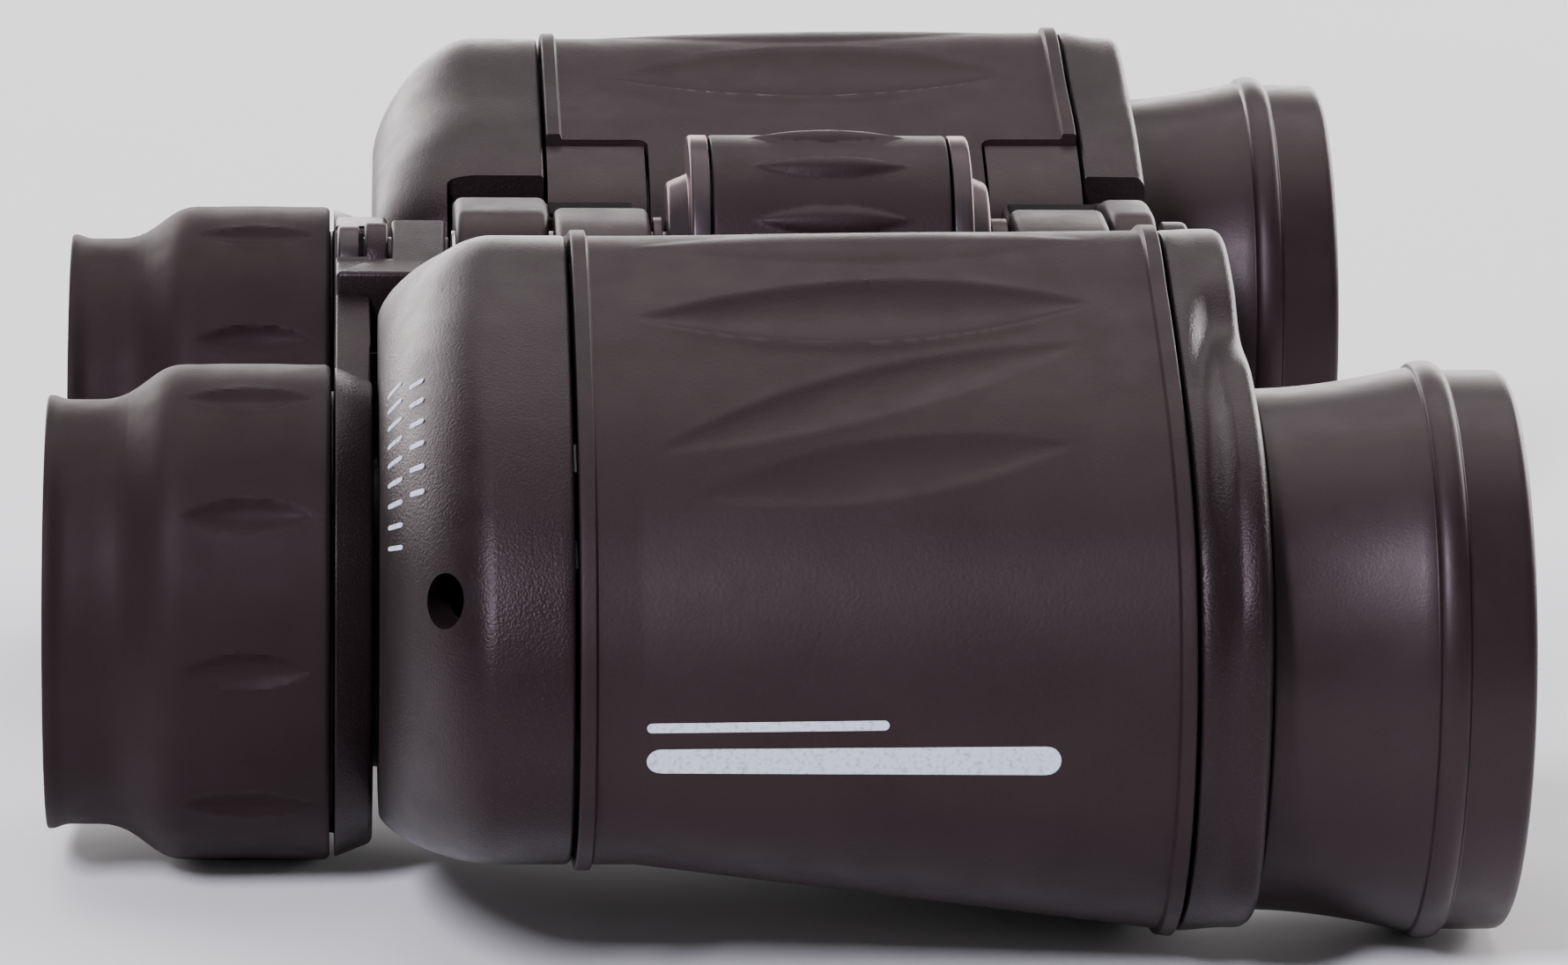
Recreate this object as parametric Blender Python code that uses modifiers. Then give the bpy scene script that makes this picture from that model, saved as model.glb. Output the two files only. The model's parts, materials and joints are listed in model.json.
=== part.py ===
"""Porro-prism field binoculars with a centre focus wheel, as an assembly of named pieces.

Lengths are in millimetres and become metres in the helpers (MM). The design frame has +X to the
user's right, +Y towards the objectives and Z = 0 in the plane of the two eyepiece axes. The empty
"binoculars" lifts that frame so that the eyecups rest on Z = 0.
"""

import math

import bmesh
import bpy

MM = 0.001

# Axes of the optics and of the hinge
EYE_X = 30.93
OBJECTIVE_X = 58.13
OBJECTIVE_Z = 3.99
HINGE_Z = 19.27

# Eyepieces, from the eyecup's lip forwards
LIP_Y = -54.39
LIP_R = 16.08
NECK_R = 15.75
COLLAR_REAR_Y = -45.43
COLLAR_FRONT_Y = -33.54
COLLAR_R = 18.37
ARM_REAR_Y = -33.2
ARM_FRONT_Y = -30.4
ARM_RING_R = 18.2
SPIGOT_R = 16.4
EYE_TUBE_R = 11.5
EYE_TUBE_BORE_R = 10.2
EYE_TUBE_FRONT_Y = -21.0
CUP_FLOOR_Y = -47.4
CUP_BORE_R = 13.8
CELL_R = 9.9
CELL_BORE_R = 8.9
STOP_BORE_R = 6.5
RING_R = 16.4
RING_FIT = 0.4
COLLAR_BORE_R = 16.7
COLLAR_STEP_Y = -45.3
MOUTH_R = 15.0
RETAINER_BORE_R = 10.8

# Housings
COVER_REAR_Y = -30.0
COVER_DOME_Y = -22.0
ARMOUR_REAR_Y = -16.3
ARMOUR_SLOPE_Y = -12.0
ARMOUR_FRONT_Y = 26.2
PLATE_FRONT_Y = 31.3
ARMOUR_WALL = 1.7
GAP = 0.3
SHELL_WALL = 1.6
COVER_WALL = 1.9
TUBE_CLEARANCE = 0.6
PLATE_BEVEL = 0.9
PLATE_RECESS = 2.2

# Pockets in the armour around the hinge lugs, and the housing's raised face within them
POCKET_X = 22.0
POCKET_FLOOR_Z = 11.5
POCKETS = ((ARMOUR_REAR_Y, -8.2), (18.5, ARMOUR_FRONT_Y))
PAD_INSET = 0.35
PAD_ROOT = 2.8

# Notches in the rear cover and front plate that clear the other barrel's lugs
NOTCH_X = 17.0
NOTCH_TOP_Z = 25.2
COVER_NOTCH_Y = -24.3

# The strap's hole, slanting through the rear cover's corner
STRAP_HOLE = (66.0, -22.6, 10.7)
STRAP_HOLE_R = 1.8
STRAP_HOLE_TURN = 62

# Objective tubes
BELL_REAR_Y = 31.7
BELL_REAR_R = 18.6
BEAD_Y = 44.11
BEAD_R = 20.67
RIM_Y = 50.0
RIM_R = 20.0
TUBE_R = 16.4
TUBE_FRONT_Y = 44.4
TUBE_REAR_Y = 26.6
TUBE_BORE_R = 13.6
LEDGE_Y = 34.2
LENS_R = 15.0
LENS_FIT = 0.2
FLARE_RISE = 1.5
FLARE_POWER = 1.8
MOUTH_DEPTH = 5.2

# Hinge and focus drive, all on the hinge axis
LUG_R = 5.3
AXLE_R = 3.5
AXLE_FIT = 0.15
LUG_REACH = 15.6
SPINE_X = (8.0, 14.0)
SPINE_Z = (14.2, 22.4)
WASHER_R = 4.6
ROD_R = 2.0
HUB_R = 3.0
WHEEL_REAR_Y = -6.0
WHEEL_FRONT_Y = 15.7
WHEEL_R = 11.0
FLANGE_WIDTH = 1.5
RIGHT_LUGS = ((-16.3, -8.9), (19.2, 26.5))
LEFT_LUGS = ((-23.9, -16.7), (26.9, 30.4))
SPINES = ((-23.9, -9.5), (19.6, 30.4))
KNUCKLE_R = 4.3
RIGHT_KNUCKLE_Y = (-28.8, -24.7)
LEFT_KNUCKLE_Y = (-30.9, -29.1)
COLLAR_LENGTH = 1.6
GRIP_BORE_R = 9.7

# Prisms: two equal right-angle prisms at right angles to each other move the beam from the
# objective axis to the eyepiece axis, half a hypotenuse each.
PRISM_LENGTH = 36.0
PRISM_WIDTH = 17.0
SHELF_REAR_Y = -7.9
SHELF_THICKNESS = 2.4
WINDOW_R = 7.6
ROOF_FLAT = 1.2
CLIP_THICK = 0.6
CLIP_HALF_WIDTH = 1.3

CURVE_STEPS = 2
SMALL_STEPS = 16
ROUND_STEPS = 24
FINE_STEPS = 28

# Outlines of the right housing seen from behind, as (x, z), clockwise from the crest
REAR_SECTION = (
    (42.0, 30.5), (50.0, 28.7), (57.5, 25.6), (65.0, 21.3), (71.5, 15.4),
    (75.3, 9.0), (76.6, 2.0), (75.2, -3.6), (71.0, -7.6), (64.5, -10.2),
    (56.5, -11.8), (46.0, -13.5), (34.0, -14.2), (23.0, -11.6), (16.5, -4.0),
    (14.0, 5.0), (12.6, 14.0), (13.6, 21.6), (22.0, 26.0), (32.0, 28.4),
)
FRONT_SECTION = (
    (42.8, 31.2), (51.5, 28.5), (60.0, 25.0), (67.6, 21.2), (74.0, 16.1),
    (77.6, 10.0), (78.8, 3.0), (77.2, -4.5), (72.6, -10.8), (66.0, -14.6),
    (58.0, -16.1), (46.0, -16.3), (34.0, -15.3), (23.0, -12.0), (16.5, -4.0),
    (14.0, 5.0), (12.6, 14.0), (13.6, 21.6), (22.0, 26.2), (32.0, 28.7),
)
REAR_FACE = (
    (38.0, 21.2), (44.0, 20.6), (50.0, 18.8), (55.0, 15.6), (58.5, 11.5),
    (60.3, 7.0), (61.0, 2.0), (60.3, -2.5), (58.0, -6.3), (54.0, -9.0),
    (49.0, -10.6), (42.5, -11.6), (34.0, -12.2), (25.0, -9.6), (18.8, -3.0),
    (16.6, 5.0), (16.2, 13.0), (18.0, 18.5), (23.0, 20.6), (31.0, 21.2),
)
PLATE_SECTION = (
    (41.0, 31.0), (48.8, 29.2), (54.0, 26.3), (62.5, 25.2), (72.5, 20.9),
    (79.0, 13.2), (80.5, 5.5), (79.5, -1.6), (76.0, -9.4), (68.5, -13.7),
    (58.0, -15.4), (46.0, -15.5), (34.0, -14.7), (23.0, -11.8), (16.5, -4.0),
    (14.0, 5.0), (12.6, 14.0), (13.6, 21.6), (22.0, 26.2), (31.5, 28.9),
)
DOME_SHARE = 0.72
DOME_POWER = 1.8
CORNER_POWER = 7

# Bodies that move together, and the point of the joint axis that each one's empty sits on
BODIES = {
    "right_barrel": (0.0, 0.0, 0.0),
    "left_barrel": (0.0, 0.0, HINGE_Z),
    "focus_wheel": (0.0, 0.0, HINGE_Z),
    "right_carriage": (0.0, ARM_REAR_Y, HINGE_Z),
    "left_carriage": (0.0, ARM_REAR_Y, HINGE_Z),
    "right_ocular": (EYE_X, COLLAR_REAR_Y, 0.0),
    "right_dioptre": (EYE_X, COLLAR_REAR_Y, 0.0),
}
RESTING_HEIGHT = COLLAR_R
CENTRE_Y = -(LIP_Y + RIM_Y) / 2

LOOKS = {
    "rubber": ((0.045, 0.040, 0.040), 0.75, 0.0),
    "shell": ((0.030, 0.028, 0.030), 0.50, 0.0),
    "plastic": ((0.022, 0.020, 0.022), 0.38, 0.0),
    "metal": ((0.10, 0.10, 0.10), 0.35, 1.0),
    "steel": ((0.55, 0.55, 0.56), 0.30, 1.0),
    "glass": ((0.75, 0.82, 0.85), 0.05, 0.0),
}


# ---------------------------------------------------------------- scene and placing

def clear_scene():
    for obj in list(bpy.data.objects):
        bpy.data.objects.remove(obj, do_unlink=True)


def new_collection(name):
    collection = bpy.data.collections.new(name)
    bpy.context.scene.collection.children.link(collection)
    return collection


def new_empty(name, at, parent=None):
    empty = bpy.data.objects.new(name, None)
    empty.empty_display_size = 10 * MM
    empty.location = [v * MM for v in at]
    empty.parent = parent
    PARTS.objects.link(empty)
    return empty


def new_material(name):
    colour, roughness, metallic = LOOKS[name]
    material = bpy.data.materials.new(name)
    material.use_nodes = True
    shader = material.node_tree.nodes["Principled BSDF"]
    shader.inputs["Base Color"].default_value = (*colour, 1.0)
    shader.inputs["Roughness"].default_value = roughness
    shader.inputs["Metallic"].default_value = metallic
    return material


def add_object(name, mesh, at=(0.0, 0.0, 0.0)):
    obj = bpy.data.objects.new(name, mesh)
    obj.location = [v * MM for v in at]
    PARTS.objects.link(obj)
    return obj


def finish(obj, body, look):
    """Gives a piece its material and parents it to its body's empty, where it already stands."""
    material = new_material(look)
    material.name = obj.name
    obj.data.materials.clear()
    obj.data.materials.append(material)
    obj.data.shade_smooth()
    obj.data.set_sharp_from_angle(angle=math.radians(35))
    origin = BODIES[body]
    obj.location = [obj.location[i] - origin[i] * MM for i in range(3)]
    obj.parent = EMPTIES[body]
    return obj


def as_cutter(obj):
    """Hides a helper that only cuts or joins, and gives it the assembly's frame."""
    PARTS.objects.unlink(obj)
    CUTTERS.objects.link(obj)
    obj.parent = FRAME
    obj.hide_render = True
    obj.display_type = "WIRE"
    return obj


def boolean(obj, other, operation="DIFFERENCE"):
    modifier = obj.modifiers.new(other.name, "BOOLEAN")
    modifier.operation = operation
    modifier.object = as_cutter(other)
    modifier.solver = "EXACT"


# ---------------------------------------------------------------- shapes

def mesh_from(bm, name):
    bmesh.ops.recalc_face_normals(bm, faces=bm.faces)
    mesh = bpy.data.meshes.new(name)
    bm.to_mesh(mesh)
    bm.free()
    return mesh


def loft(name, rings):
    """A closed solid through rings of equal length, each a list of (x, y, z)."""
    bm = bmesh.new()
    rows = [[bm.verts.new([v * MM for v in point]) for point in ring] for ring in rings]
    count = len(rows[0])
    for near, far in zip(rows, rows[1:]):
        for i in range(count):
            j = (i + 1) % count
            bm.faces.new((near[i], near[j], far[j], far[i]))
    bm.faces.new(rows[0])
    bm.faces.new(reversed(rows[-1]))
    bmesh.ops.triangulate(bm, faces=[f for f in bm.faces if len(f.verts) > 4])
    return add_object(name, mesh_from(bm, name))


def turned(name, profile, x, z, steps=ROUND_STEPS, closed=True):
    """A profile of (radius, y) turned about the line through (x, z) along Y.

    The profile runs back along its outer side, from front to rear. An open one starts and ends
    on the axis.
    """
    bm = bmesh.new()
    points = [bm.verts.new((radius * MM, 0.0, y * MM)) for radius, y in profile]
    for start, end in zip(points, points[1:]):
        bm.edges.new((start, end))
    if closed:
        bm.edges.new((points[-1], points[0]))
    mesh = bpy.data.meshes.new(name)
    bm.to_mesh(mesh)
    bm.free()
    obj = add_object(name, mesh, (x, 0.0, z))
    obj.rotation_euler = (-math.pi / 2, 0.0, 0.0)
    screw = obj.modifiers.new("Turn", "SCREW")
    screw.axis = "Z"
    screw.angle = 2 * math.pi
    screw.steps = steps
    screw.render_steps = steps
    screw.use_merge_vertices = True
    screw.merge_threshold = 1e-5
    screw.use_smooth_shade = True
    return obj


def ring(name, outer, bore, rear, front, x, z, steps=ROUND_STEPS):
    profile = ((outer, front), (outer, rear), (bore, rear), (bore, front))
    return turned(name, profile, x, z, steps)


def rod(name, radius, rear, front, x, z, steps=ROUND_STEPS):
    profile = ((0.0, front), (radius, front), (radius, rear), (0.0, rear))
    return turned(name, profile, x, z, steps, closed=False)


def box(name, low, high):
    bm = bmesh.new()
    bmesh.ops.create_cube(bm, size=1.0)
    for vert in bm.verts:
        for axis in range(3):
            middle = (low[axis] + high[axis]) / 2
            vert.co[axis] = (middle + vert.co[axis] * (high[axis] - low[axis])) * MM
    return add_object(name, mesh_from(bm, name))


def plate(name, outline, rear, front):
    """A flat piece: an (x, z) outline between two planes across Y."""
    return loft(name, [[(x, y, z) for x, z in outline] for y in (rear, front)])


def sided_box(name, side, low, high):
    """A box given for the right side, or its mirror image on the left (side = -1)."""
    xs = sorted((side * low[0], side * high[0]))
    return box(name, (xs[0], low[1], low[2]), (xs[1], high[1], high[2]))


def closed_curve(points, steps=CURVE_STEPS):
    """A smooth closed Catmull-Rom curve through the points."""
    count = len(points)
    curve = []
    for i in range(count):
        p0, p1, p2, p3 = (points[(i + k) % count] for k in (-1, 0, 1, 2))
        for step in range(steps):
            t = step / steps
            curve.append(tuple(
                0.5 * (2 * b + (c - a) * t + (2 * a - 5 * b + 4 * c - d) * t * t
                       + (3 * b - a - 3 * c + d) * t * t * t)
                for a, b, c, d in zip(p0, p1, p2, p3)
            ))
    return curve


def inset(curve, distance):
    """A clockwise closed (x, z) curve moved inwards by the distance."""
    count = len(curve)
    moved = []
    for i in range(count):
        before = curve[i - 1]
        after = curve[(i + 1) % count]
        along = (after[0] - before[0], after[1] - before[1])
        length = math.hypot(*along)
        inward = (along[1] / length, -along[0] / length)
        moved.append((curve[i][0] + inward[0] * distance, curve[i][1] + inward[1] * distance))
    return moved


def mix(first, second, share):
    return [tuple(a + (b - a) * share for a, b in zip(p, q)) for p, q in zip(first, second)]


def at_y(curve, y, side):
    return [(side * x, y, z) for x, z in curve]


# ---------------------------------------------------------------- housings

def body_curve(y):
    """The armour's outer outline at a station: constant at the rear, then growing forwards."""
    share = (y - ARMOUR_SLOPE_Y) / (ARMOUR_FRONT_Y - ARMOUR_SLOPE_Y)
    return mix(closed_curve(REAR_SECTION), closed_curve(FRONT_SECTION), max(share, 0.0))


def cover_curve(y):
    """The rear cover's outer outline: a dome that ends in a rounded corner at the rear face."""
    depth = min(max(0.0, (COVER_DOME_Y - y) / (COVER_DOME_Y - COVER_REAR_Y)), 1.0)
    corner = 1 - math.sqrt(1 - depth ** CORNER_POWER)
    share = DOME_SHARE * depth ** DOME_POWER + (1 - DOME_SHARE) * corner
    return mix(closed_curve(REAR_SECTION), closed_curve(REAR_FACE), share)


def plate_curve(share):
    return mix(closed_curve(FRONT_SECTION), closed_curve(PLATE_SECTION), share)


def housing(name, side, inner, outer, rear, front):
    """The shell between two insets of the armour's outline, open at both ends."""
    stations = (rear, ARMOUR_SLOPE_Y, front)
    obj = loft(name, [at_y(inset(body_curve(y), outer), y, side) for y in stations])
    stations = (rear - 1, ARMOUR_SLOPE_Y, front + 1)
    hollow = [at_y(inset(body_curve(y), inner), y, side) for y in stations]
    boolean(obj, loft(name + "_hollow", hollow))
    return obj


def lug(name, side, rear, front):
    """A hinge lug: a round barrel on the hinge axis with a flat-topped arm towards the body."""
    top = HINGE_Z + LUG_R
    bottom = HINGE_Z - LUG_R
    arc = [math.radians(a) for a in range(260, 99, -20)]
    outline = [(LUG_R * math.cos(a), HINGE_Z + LUG_R * math.sin(a)) for a in arc]
    outline += [(3.0, top), (9.0, top - 0.6), (LUG_REACH, top - 2.6)]
    outline += [(LUG_REACH, bottom - 2.0), (7.0, bottom)]
    return plate(name, [(side * x, z) for x, z in outline], rear, front)


def pocket_pad(name, side, rear, front):
    """The housing's raised face in a pocket, nearly flush with the armour around it."""
    obj = loft(name, [at_y(inset(body_curve(y), PAD_INSET), y, side) for y in (rear, front)])
    low = (0.0, rear - 1, POCKET_FLOOR_Z + GAP)
    high = (POCKET_X - GAP, front + 1, 40.0)
    boolean(obj, sided_box(name + "_keep", side, low, high), "INTERSECT")
    root = [at_y(inset(body_curve(y), PAD_ROOT), y, side) for y in (rear - 1, front + 1)]
    boolean(obj, loft(name + "_root", root))
    return obj


def body_shell(side, name):
    """The hard prism housing, with the two lugs that carry the hinge."""
    obj = housing(
        name, side, ARMOUR_WALL + GAP + SHELL_WALL, ARMOUR_WALL + GAP, ARMOUR_REAR_Y, ARMOUR_FRONT_Y
    )
    pads = ((POCKETS[0][0], POCKETS[0][1] - GAP), (POCKETS[1][0] + GAP, POCKETS[1][1]))
    for i, (rear, front) in enumerate(pads):
        boolean(obj, pocket_pad(f"{name}_pad_{i}", side, rear, front), "UNION")
    for i, (rear, front) in enumerate(RIGHT_LUGS if side > 0 else LEFT_LUGS):
        boolean(obj, lug(f"{name}_lug_{i}", side, rear, front), "UNION")
    if side < 0:
        for i, (rear, front) in enumerate(SPINES):
            low = (SPINE_X[0], rear, SPINE_Z[0])
            high = (SPINE_X[1], front, SPINE_Z[1])
            boolean(obj, sided_box(f"{name}_spine_{i}", side, low, high), "UNION")
    boolean(obj, rod(name + "_bore", AXLE_R + AXLE_FIT, -30, 40, 0, HINGE_Z))
    return obj


def armour(side, name):
    """The rubber armour, cut away above the hinge lugs."""
    obj = housing(name, side, ARMOUR_WALL, 0.0, ARMOUR_REAR_Y, ARMOUR_FRONT_Y)
    spans = ((POCKETS[0][0] - 2, POCKETS[0][1]), (POCKETS[1][0], POCKETS[1][1] + 2))
    for i, (rear, front) in enumerate(spans):
        pocket = sided_box(f"{name}_pocket_{i}", side, (0, rear, POCKET_FLOOR_Z), (POCKET_X, front, 40))
        boolean(obj, pocket)
    return obj


def rear_cover(side, name):
    """The domed cover behind the prisms, bored for the eyepiece tube and the strap."""
    front = ARMOUR_REAR_Y - GAP
    depths = (0.0, 0.35, 0.65, 0.9, 1.0)
    stations = [front] + [COVER_DOME_Y - d * (COVER_DOME_Y - COVER_REAR_Y) for d in depths]
    obj = loft(name, [at_y(cover_curve(y), y, side) for y in stations])
    inner = [front + 1] + [y + COVER_WALL for y in stations[1:]]
    outer = [front + 1] + stations[1:]
    hollow = [at_y(inset(cover_curve(o), COVER_WALL), i, side) for o, i in zip(outer, inner)]
    boolean(obj, loft(name + "_hollow", hollow))
    boolean(obj, rod(name + "_bore", EYE_TUBE_R + TUBE_CLEARANCE, -40, -18, side * EYE_X, 0))
    notch = sided_box(
        name + "_notch", side, (0, COVER_NOTCH_Y, POCKET_FLOOR_Z), (NOTCH_X, -10, NOTCH_TOP_Z)
    )
    boolean(obj, notch)
    strap = bmesh.new()
    bmesh.ops.create_cone(strap, cap_ends=True, segments=12, radius1=STRAP_HOLE_R * MM,
                          radius2=STRAP_HOLE_R * MM, depth=30 * MM)
    x, y, z = STRAP_HOLE
    hole = add_object(name + "_strap_hole", mesh_from(strap, name), (side * x, y, z))
    hole.rotation_euler = (math.pi / 2, 0.0, side * math.radians(STRAP_HOLE_TURN))
    boolean(obj, hole)
    return obj


def front_plate(side, name):
    """The plate that closes the prism housing and carries the objective tube."""
    rear = ARMOUR_FRONT_Y + GAP
    rings = (
        (rear, plate_curve(0.0)),
        (rear + 1.6, plate_curve(0.75)),
        (PLATE_FRONT_Y - PLATE_BEVEL, plate_curve(1.0)),
        (PLATE_FRONT_Y, inset(plate_curve(1.0), PLATE_BEVEL)),
    )
    obj = loft(name, [at_y(curve, y, side) for y, curve in rings])
    stations = (rear - 1, PLATE_FRONT_Y - PLATE_RECESS)
    recess = [at_y(inset(plate_curve(0.0), PLATE_RECESS), y, side) for y in stations]
    boolean(obj, loft(name + "_recess", recess))
    boolean(obj, rod(name + "_bore", TUBE_R + GAP, 20, 40, side * OBJECTIVE_X, OBJECTIVE_Z))
    notch = sided_box(name + "_notch", side, (0, 20, POCKET_FLOOR_Z), (NOTCH_X, 40, NOTCH_TOP_Z))
    boolean(obj, notch)
    return obj


# ---------------------------------------------------------------- objectives

def objective_bell(side, name):
    """The rubber bell: a concave flare, a rounded bead and a plain rim around the lens."""
    length = BEAD_Y - 1.3 - BELL_REAR_Y
    flare = [
        (BELL_REAR_R + FLARE_RISE * share ** FLARE_POWER, BELL_REAR_Y + length * share)
        for share in (0, 1 / 3, 2 / 3, 1)
    ]
    rim = [(16.6, RIM_Y - MOUTH_DEPTH), (17.8, RIM_Y), (RIM_R - 0.7, RIM_Y), (RIM_R, RIM_Y - 0.8)]
    bead = [(RIM_R, BEAD_Y + 1.4), (BEAD_R, BEAD_Y + 0.5), (BEAD_R, BEAD_Y - 0.5)]
    back = [(TUBE_R + GAP, BELL_REAR_Y), (TUBE_R + GAP, RIM_Y - MOUTH_DEPTH - 0.2)]
    profile = rim + bead + flare[::-1] + back
    return turned(name, profile, side * OBJECTIVE_X, OBJECTIVE_Z, FINE_STEPS)


def objective_tube(side, name):
    """The hard tube inside the bell, with a ledge that the lens sits on."""
    profile = (
        (TUBE_R, TUBE_FRONT_Y), (TUBE_R, TUBE_REAR_Y), (TUBE_BORE_R, TUBE_REAR_Y),
        (TUBE_BORE_R, LEDGE_Y), (LENS_R + LENS_FIT, LEDGE_Y), (LENS_R + LENS_FIT, TUBE_FRONT_Y),
    )
    return turned(name, profile, side * OBJECTIVE_X, OBJECTIVE_Z)


def lens(name, radius, rear, front, rear_bulge, front_bulge, x, z, steps=SMALL_STEPS):
    """A round lens: rear and front are its rim's planes, and a bulge is positive outwards."""
    shares = (0.0, 0.6)
    face = [(radius * s, front + front_bulge * (1 - s * s)) for s in shares]
    back = [(radius * s, rear - rear_bulge * (1 - s * s)) for s in reversed(shares)]
    profile = face + [(radius, front), (radius, rear)] + back
    return turned(name, profile, x, z, steps, closed=False)


# ---------------------------------------------------------------- prisms

def prism_axes(side, first):
    """Centre and long direction of a prism's hypotenuse face, seen from behind."""
    dx, dz = EYE_X - OBJECTIVE_X, -OBJECTIVE_Z
    turn = math.radians(-45 if first else 45)
    step = math.hypot(dx, dz) / math.sqrt(2)
    angle = math.atan2(dz, dx) + turn
    along = (math.cos(angle), math.sin(angle))
    start = (OBJECTIVE_X, OBJECTIVE_Z) if first else (EYE_X, 0.0)
    sign = 1 if first else -1
    centre = (start[0] + sign * along[0] * step / 2, start[1] + sign * along[1] * step / 2)
    return (side * centre[0], centre[1]), (side * along[0], along[1])


def prism(side, name, first):
    """A right-angle prism with its hypotenuse on the shelf and its ends rounded off."""
    (cx, cz), (ux, uz) = prism_axes(side, first)
    vx, vz = -uz, ux
    base = SHELF_REAR_Y - GAP if first else SHELF_REAR_Y + SHELF_THICKNESS + GAP
    direction = -1 if first else 1
    half = PRISM_LENGTH / 2
    apex = half - ROOF_FLAT
    section = ((-half, 0.0), (half, 0.0), (ROOF_FLAT, apex), (-ROOF_FLAT, apex))
    rings = []
    for width in (-PRISM_WIDTH / 2, PRISM_WIDTH / 2):
        rings.append([
            (cx + ux * u + vx * width, base + direction * h, cz + uz * u + vz * width)
            for u, h in section
        ])
    obj = loft(name, rings)
    trim = rod(name + "_trim", half, base - 30, base + 30, cx, cz, SMALL_STEPS)
    boolean(obj, trim, "INTERSECT")
    return obj


def prism_clip(side, name, first):
    """The sprung strap that goes over the prism's roof edge and down to the shelf."""
    (cx, cz), (ux, uz) = prism_axes(side, first)
    vx, vz = -uz, ux
    base = SHELF_REAR_Y - GAP if first else SHELF_REAR_Y + SHELF_THICKNESS + GAP
    direction = -1 if first else 1
    top = PRISM_LENGTH / 2 - ROOF_FLAT + GAP
    reach = PRISM_WIDTH / 2 + GAP
    over = top + CLIP_THICK
    beyond = reach + CLIP_THICK
    path = (
        ((-reach, 0.0), (-beyond, 0.0)), ((-reach, top), (-beyond, over)),
        ((reach, top), (beyond, over)), ((reach, 0.0), (beyond, 0.0)),
    )
    rings = []
    for (inner_w, inner_h), (outer_w, outer_h) in path:
        rings.append([
            (cx + ux * u + vx * w, base + direction * h, cz + uz * u + vz * w)
            for u, w, h in (
                (-CLIP_HALF_WIDTH, inner_w, inner_h), (CLIP_HALF_WIDTH, inner_w, inner_h),
                (CLIP_HALF_WIDTH, outer_w, outer_h), (-CLIP_HALF_WIDTH, outer_w, outer_h),
            )
        ])
    return loft(name, rings)


def prism_shelf(side, name):
    """The plate across the housing that both prisms stand on, with a window for each beam."""
    curve = inset(body_curve(SHELF_REAR_Y), ARMOUR_WALL + GAP + SHELF_THICKNESS)
    front = SHELF_REAR_Y + SHELF_THICKNESS
    obj = plate(name, [(side * x, z) for x, z in curve], SHELF_REAR_Y, front)
    (cx, cz), (ux, uz) = prism_axes(side, True)
    quarter = math.hypot(EYE_X - OBJECTIVE_X, OBJECTIVE_Z) / math.sqrt(2) / 2
    corner = (cx + ux * quarter, cz + uz * quarter)
    windows = ((side * OBJECTIVE_X, OBJECTIVE_Z), corner, (side * EYE_X, 0.0))
    for i, (x, z) in enumerate(windows):
        window = rod(f"{name}_window_{i}", WINDOW_R, SHELF_REAR_Y - 1, front + 1, x, z, SMALL_STEPS)
        boolean(obj, window)
    return obj


# ---------------------------------------------------------------- eyepieces

def bridge_arm(side, name):
    """The arm that carries one eyepiece and turns about the hub on the hinge axis."""
    rear_y, front_y = RIGHT_KNUCKLE_Y if side > 0 else LEFT_KNUCKLE_Y
    spigot_y = ARM_REAR_Y - 0.4
    profile = (
        (ARM_RING_R - 1.1, ARM_FRONT_Y), (ARM_RING_R, ARM_REAR_Y), (SPIGOT_R, ARM_REAR_Y),
        (SPIGOT_R, spigot_y), (EYE_TUBE_R + GAP, spigot_y), (EYE_TUBE_R + GAP, ARM_FRONT_Y),
    )
    obj = turned(name, profile, side * EYE_X, 0.0)
    bar = ((6.2, 22.0), (18.5, 17.0), (24.0, 14.5), (18.2, 6.0), (12.0, 9.0), (6.2, 14.5))
    bar = [(side * x, z) for x, z in bar]
    boolean(obj, plate(name + "_bar", bar, ARM_REAR_Y + 0.1, ARM_FRONT_Y - 0.1), "UNION")
    web = sided_box(name + "_web", side, (5.6, ARM_REAR_Y + 0.1, 15.4), (11.2, front_y, 21.8))
    boolean(obj, web, "UNION")
    arc = [math.radians(a) for a in range(255, 104, -15)]
    knuckle = [(KNUCKLE_R * math.cos(a), HINGE_Z + KNUCKLE_R * math.sin(a)) for a in arc]
    knuckle += [(7.0, HINGE_Z + 2.4), (7.0, HINGE_Z - 3.6)]
    boss = plate(name + "_knuckle", [(side * x, z) for x, z in knuckle], rear_y, front_y)
    boolean(obj, boss, "UNION")
    boolean(obj, rod(name + "_bore", HUB_R + AXLE_FIT, -40, -20, 0, HINGE_Z))
    return obj


def eyecup(side, name):
    """The rubber eyecup, in one with the collar that is gripped to turn it."""
    profile = (
        (COLLAR_BORE_R, COLLAR_FRONT_Y), (COLLAR_R - 0.4, COLLAR_FRONT_Y),
        (COLLAR_R, COLLAR_FRONT_Y - 0.4), (COLLAR_R, COLLAR_REAR_Y), (NECK_R, -49.0),
        (NECK_R, -53.3), (LIP_R, LIP_Y + 0.4), (LIP_R - 0.3, LIP_Y), (MOUTH_R, LIP_Y),
        (14.3, -50.0), (CUP_BORE_R, CUP_FLOOR_Y), (CUP_BORE_R, COLLAR_STEP_Y),
        (COLLAR_BORE_R, COLLAR_STEP_Y),
    )
    return turned(name, profile, side * EYE_X, 0.0, FINE_STEPS)


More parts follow.
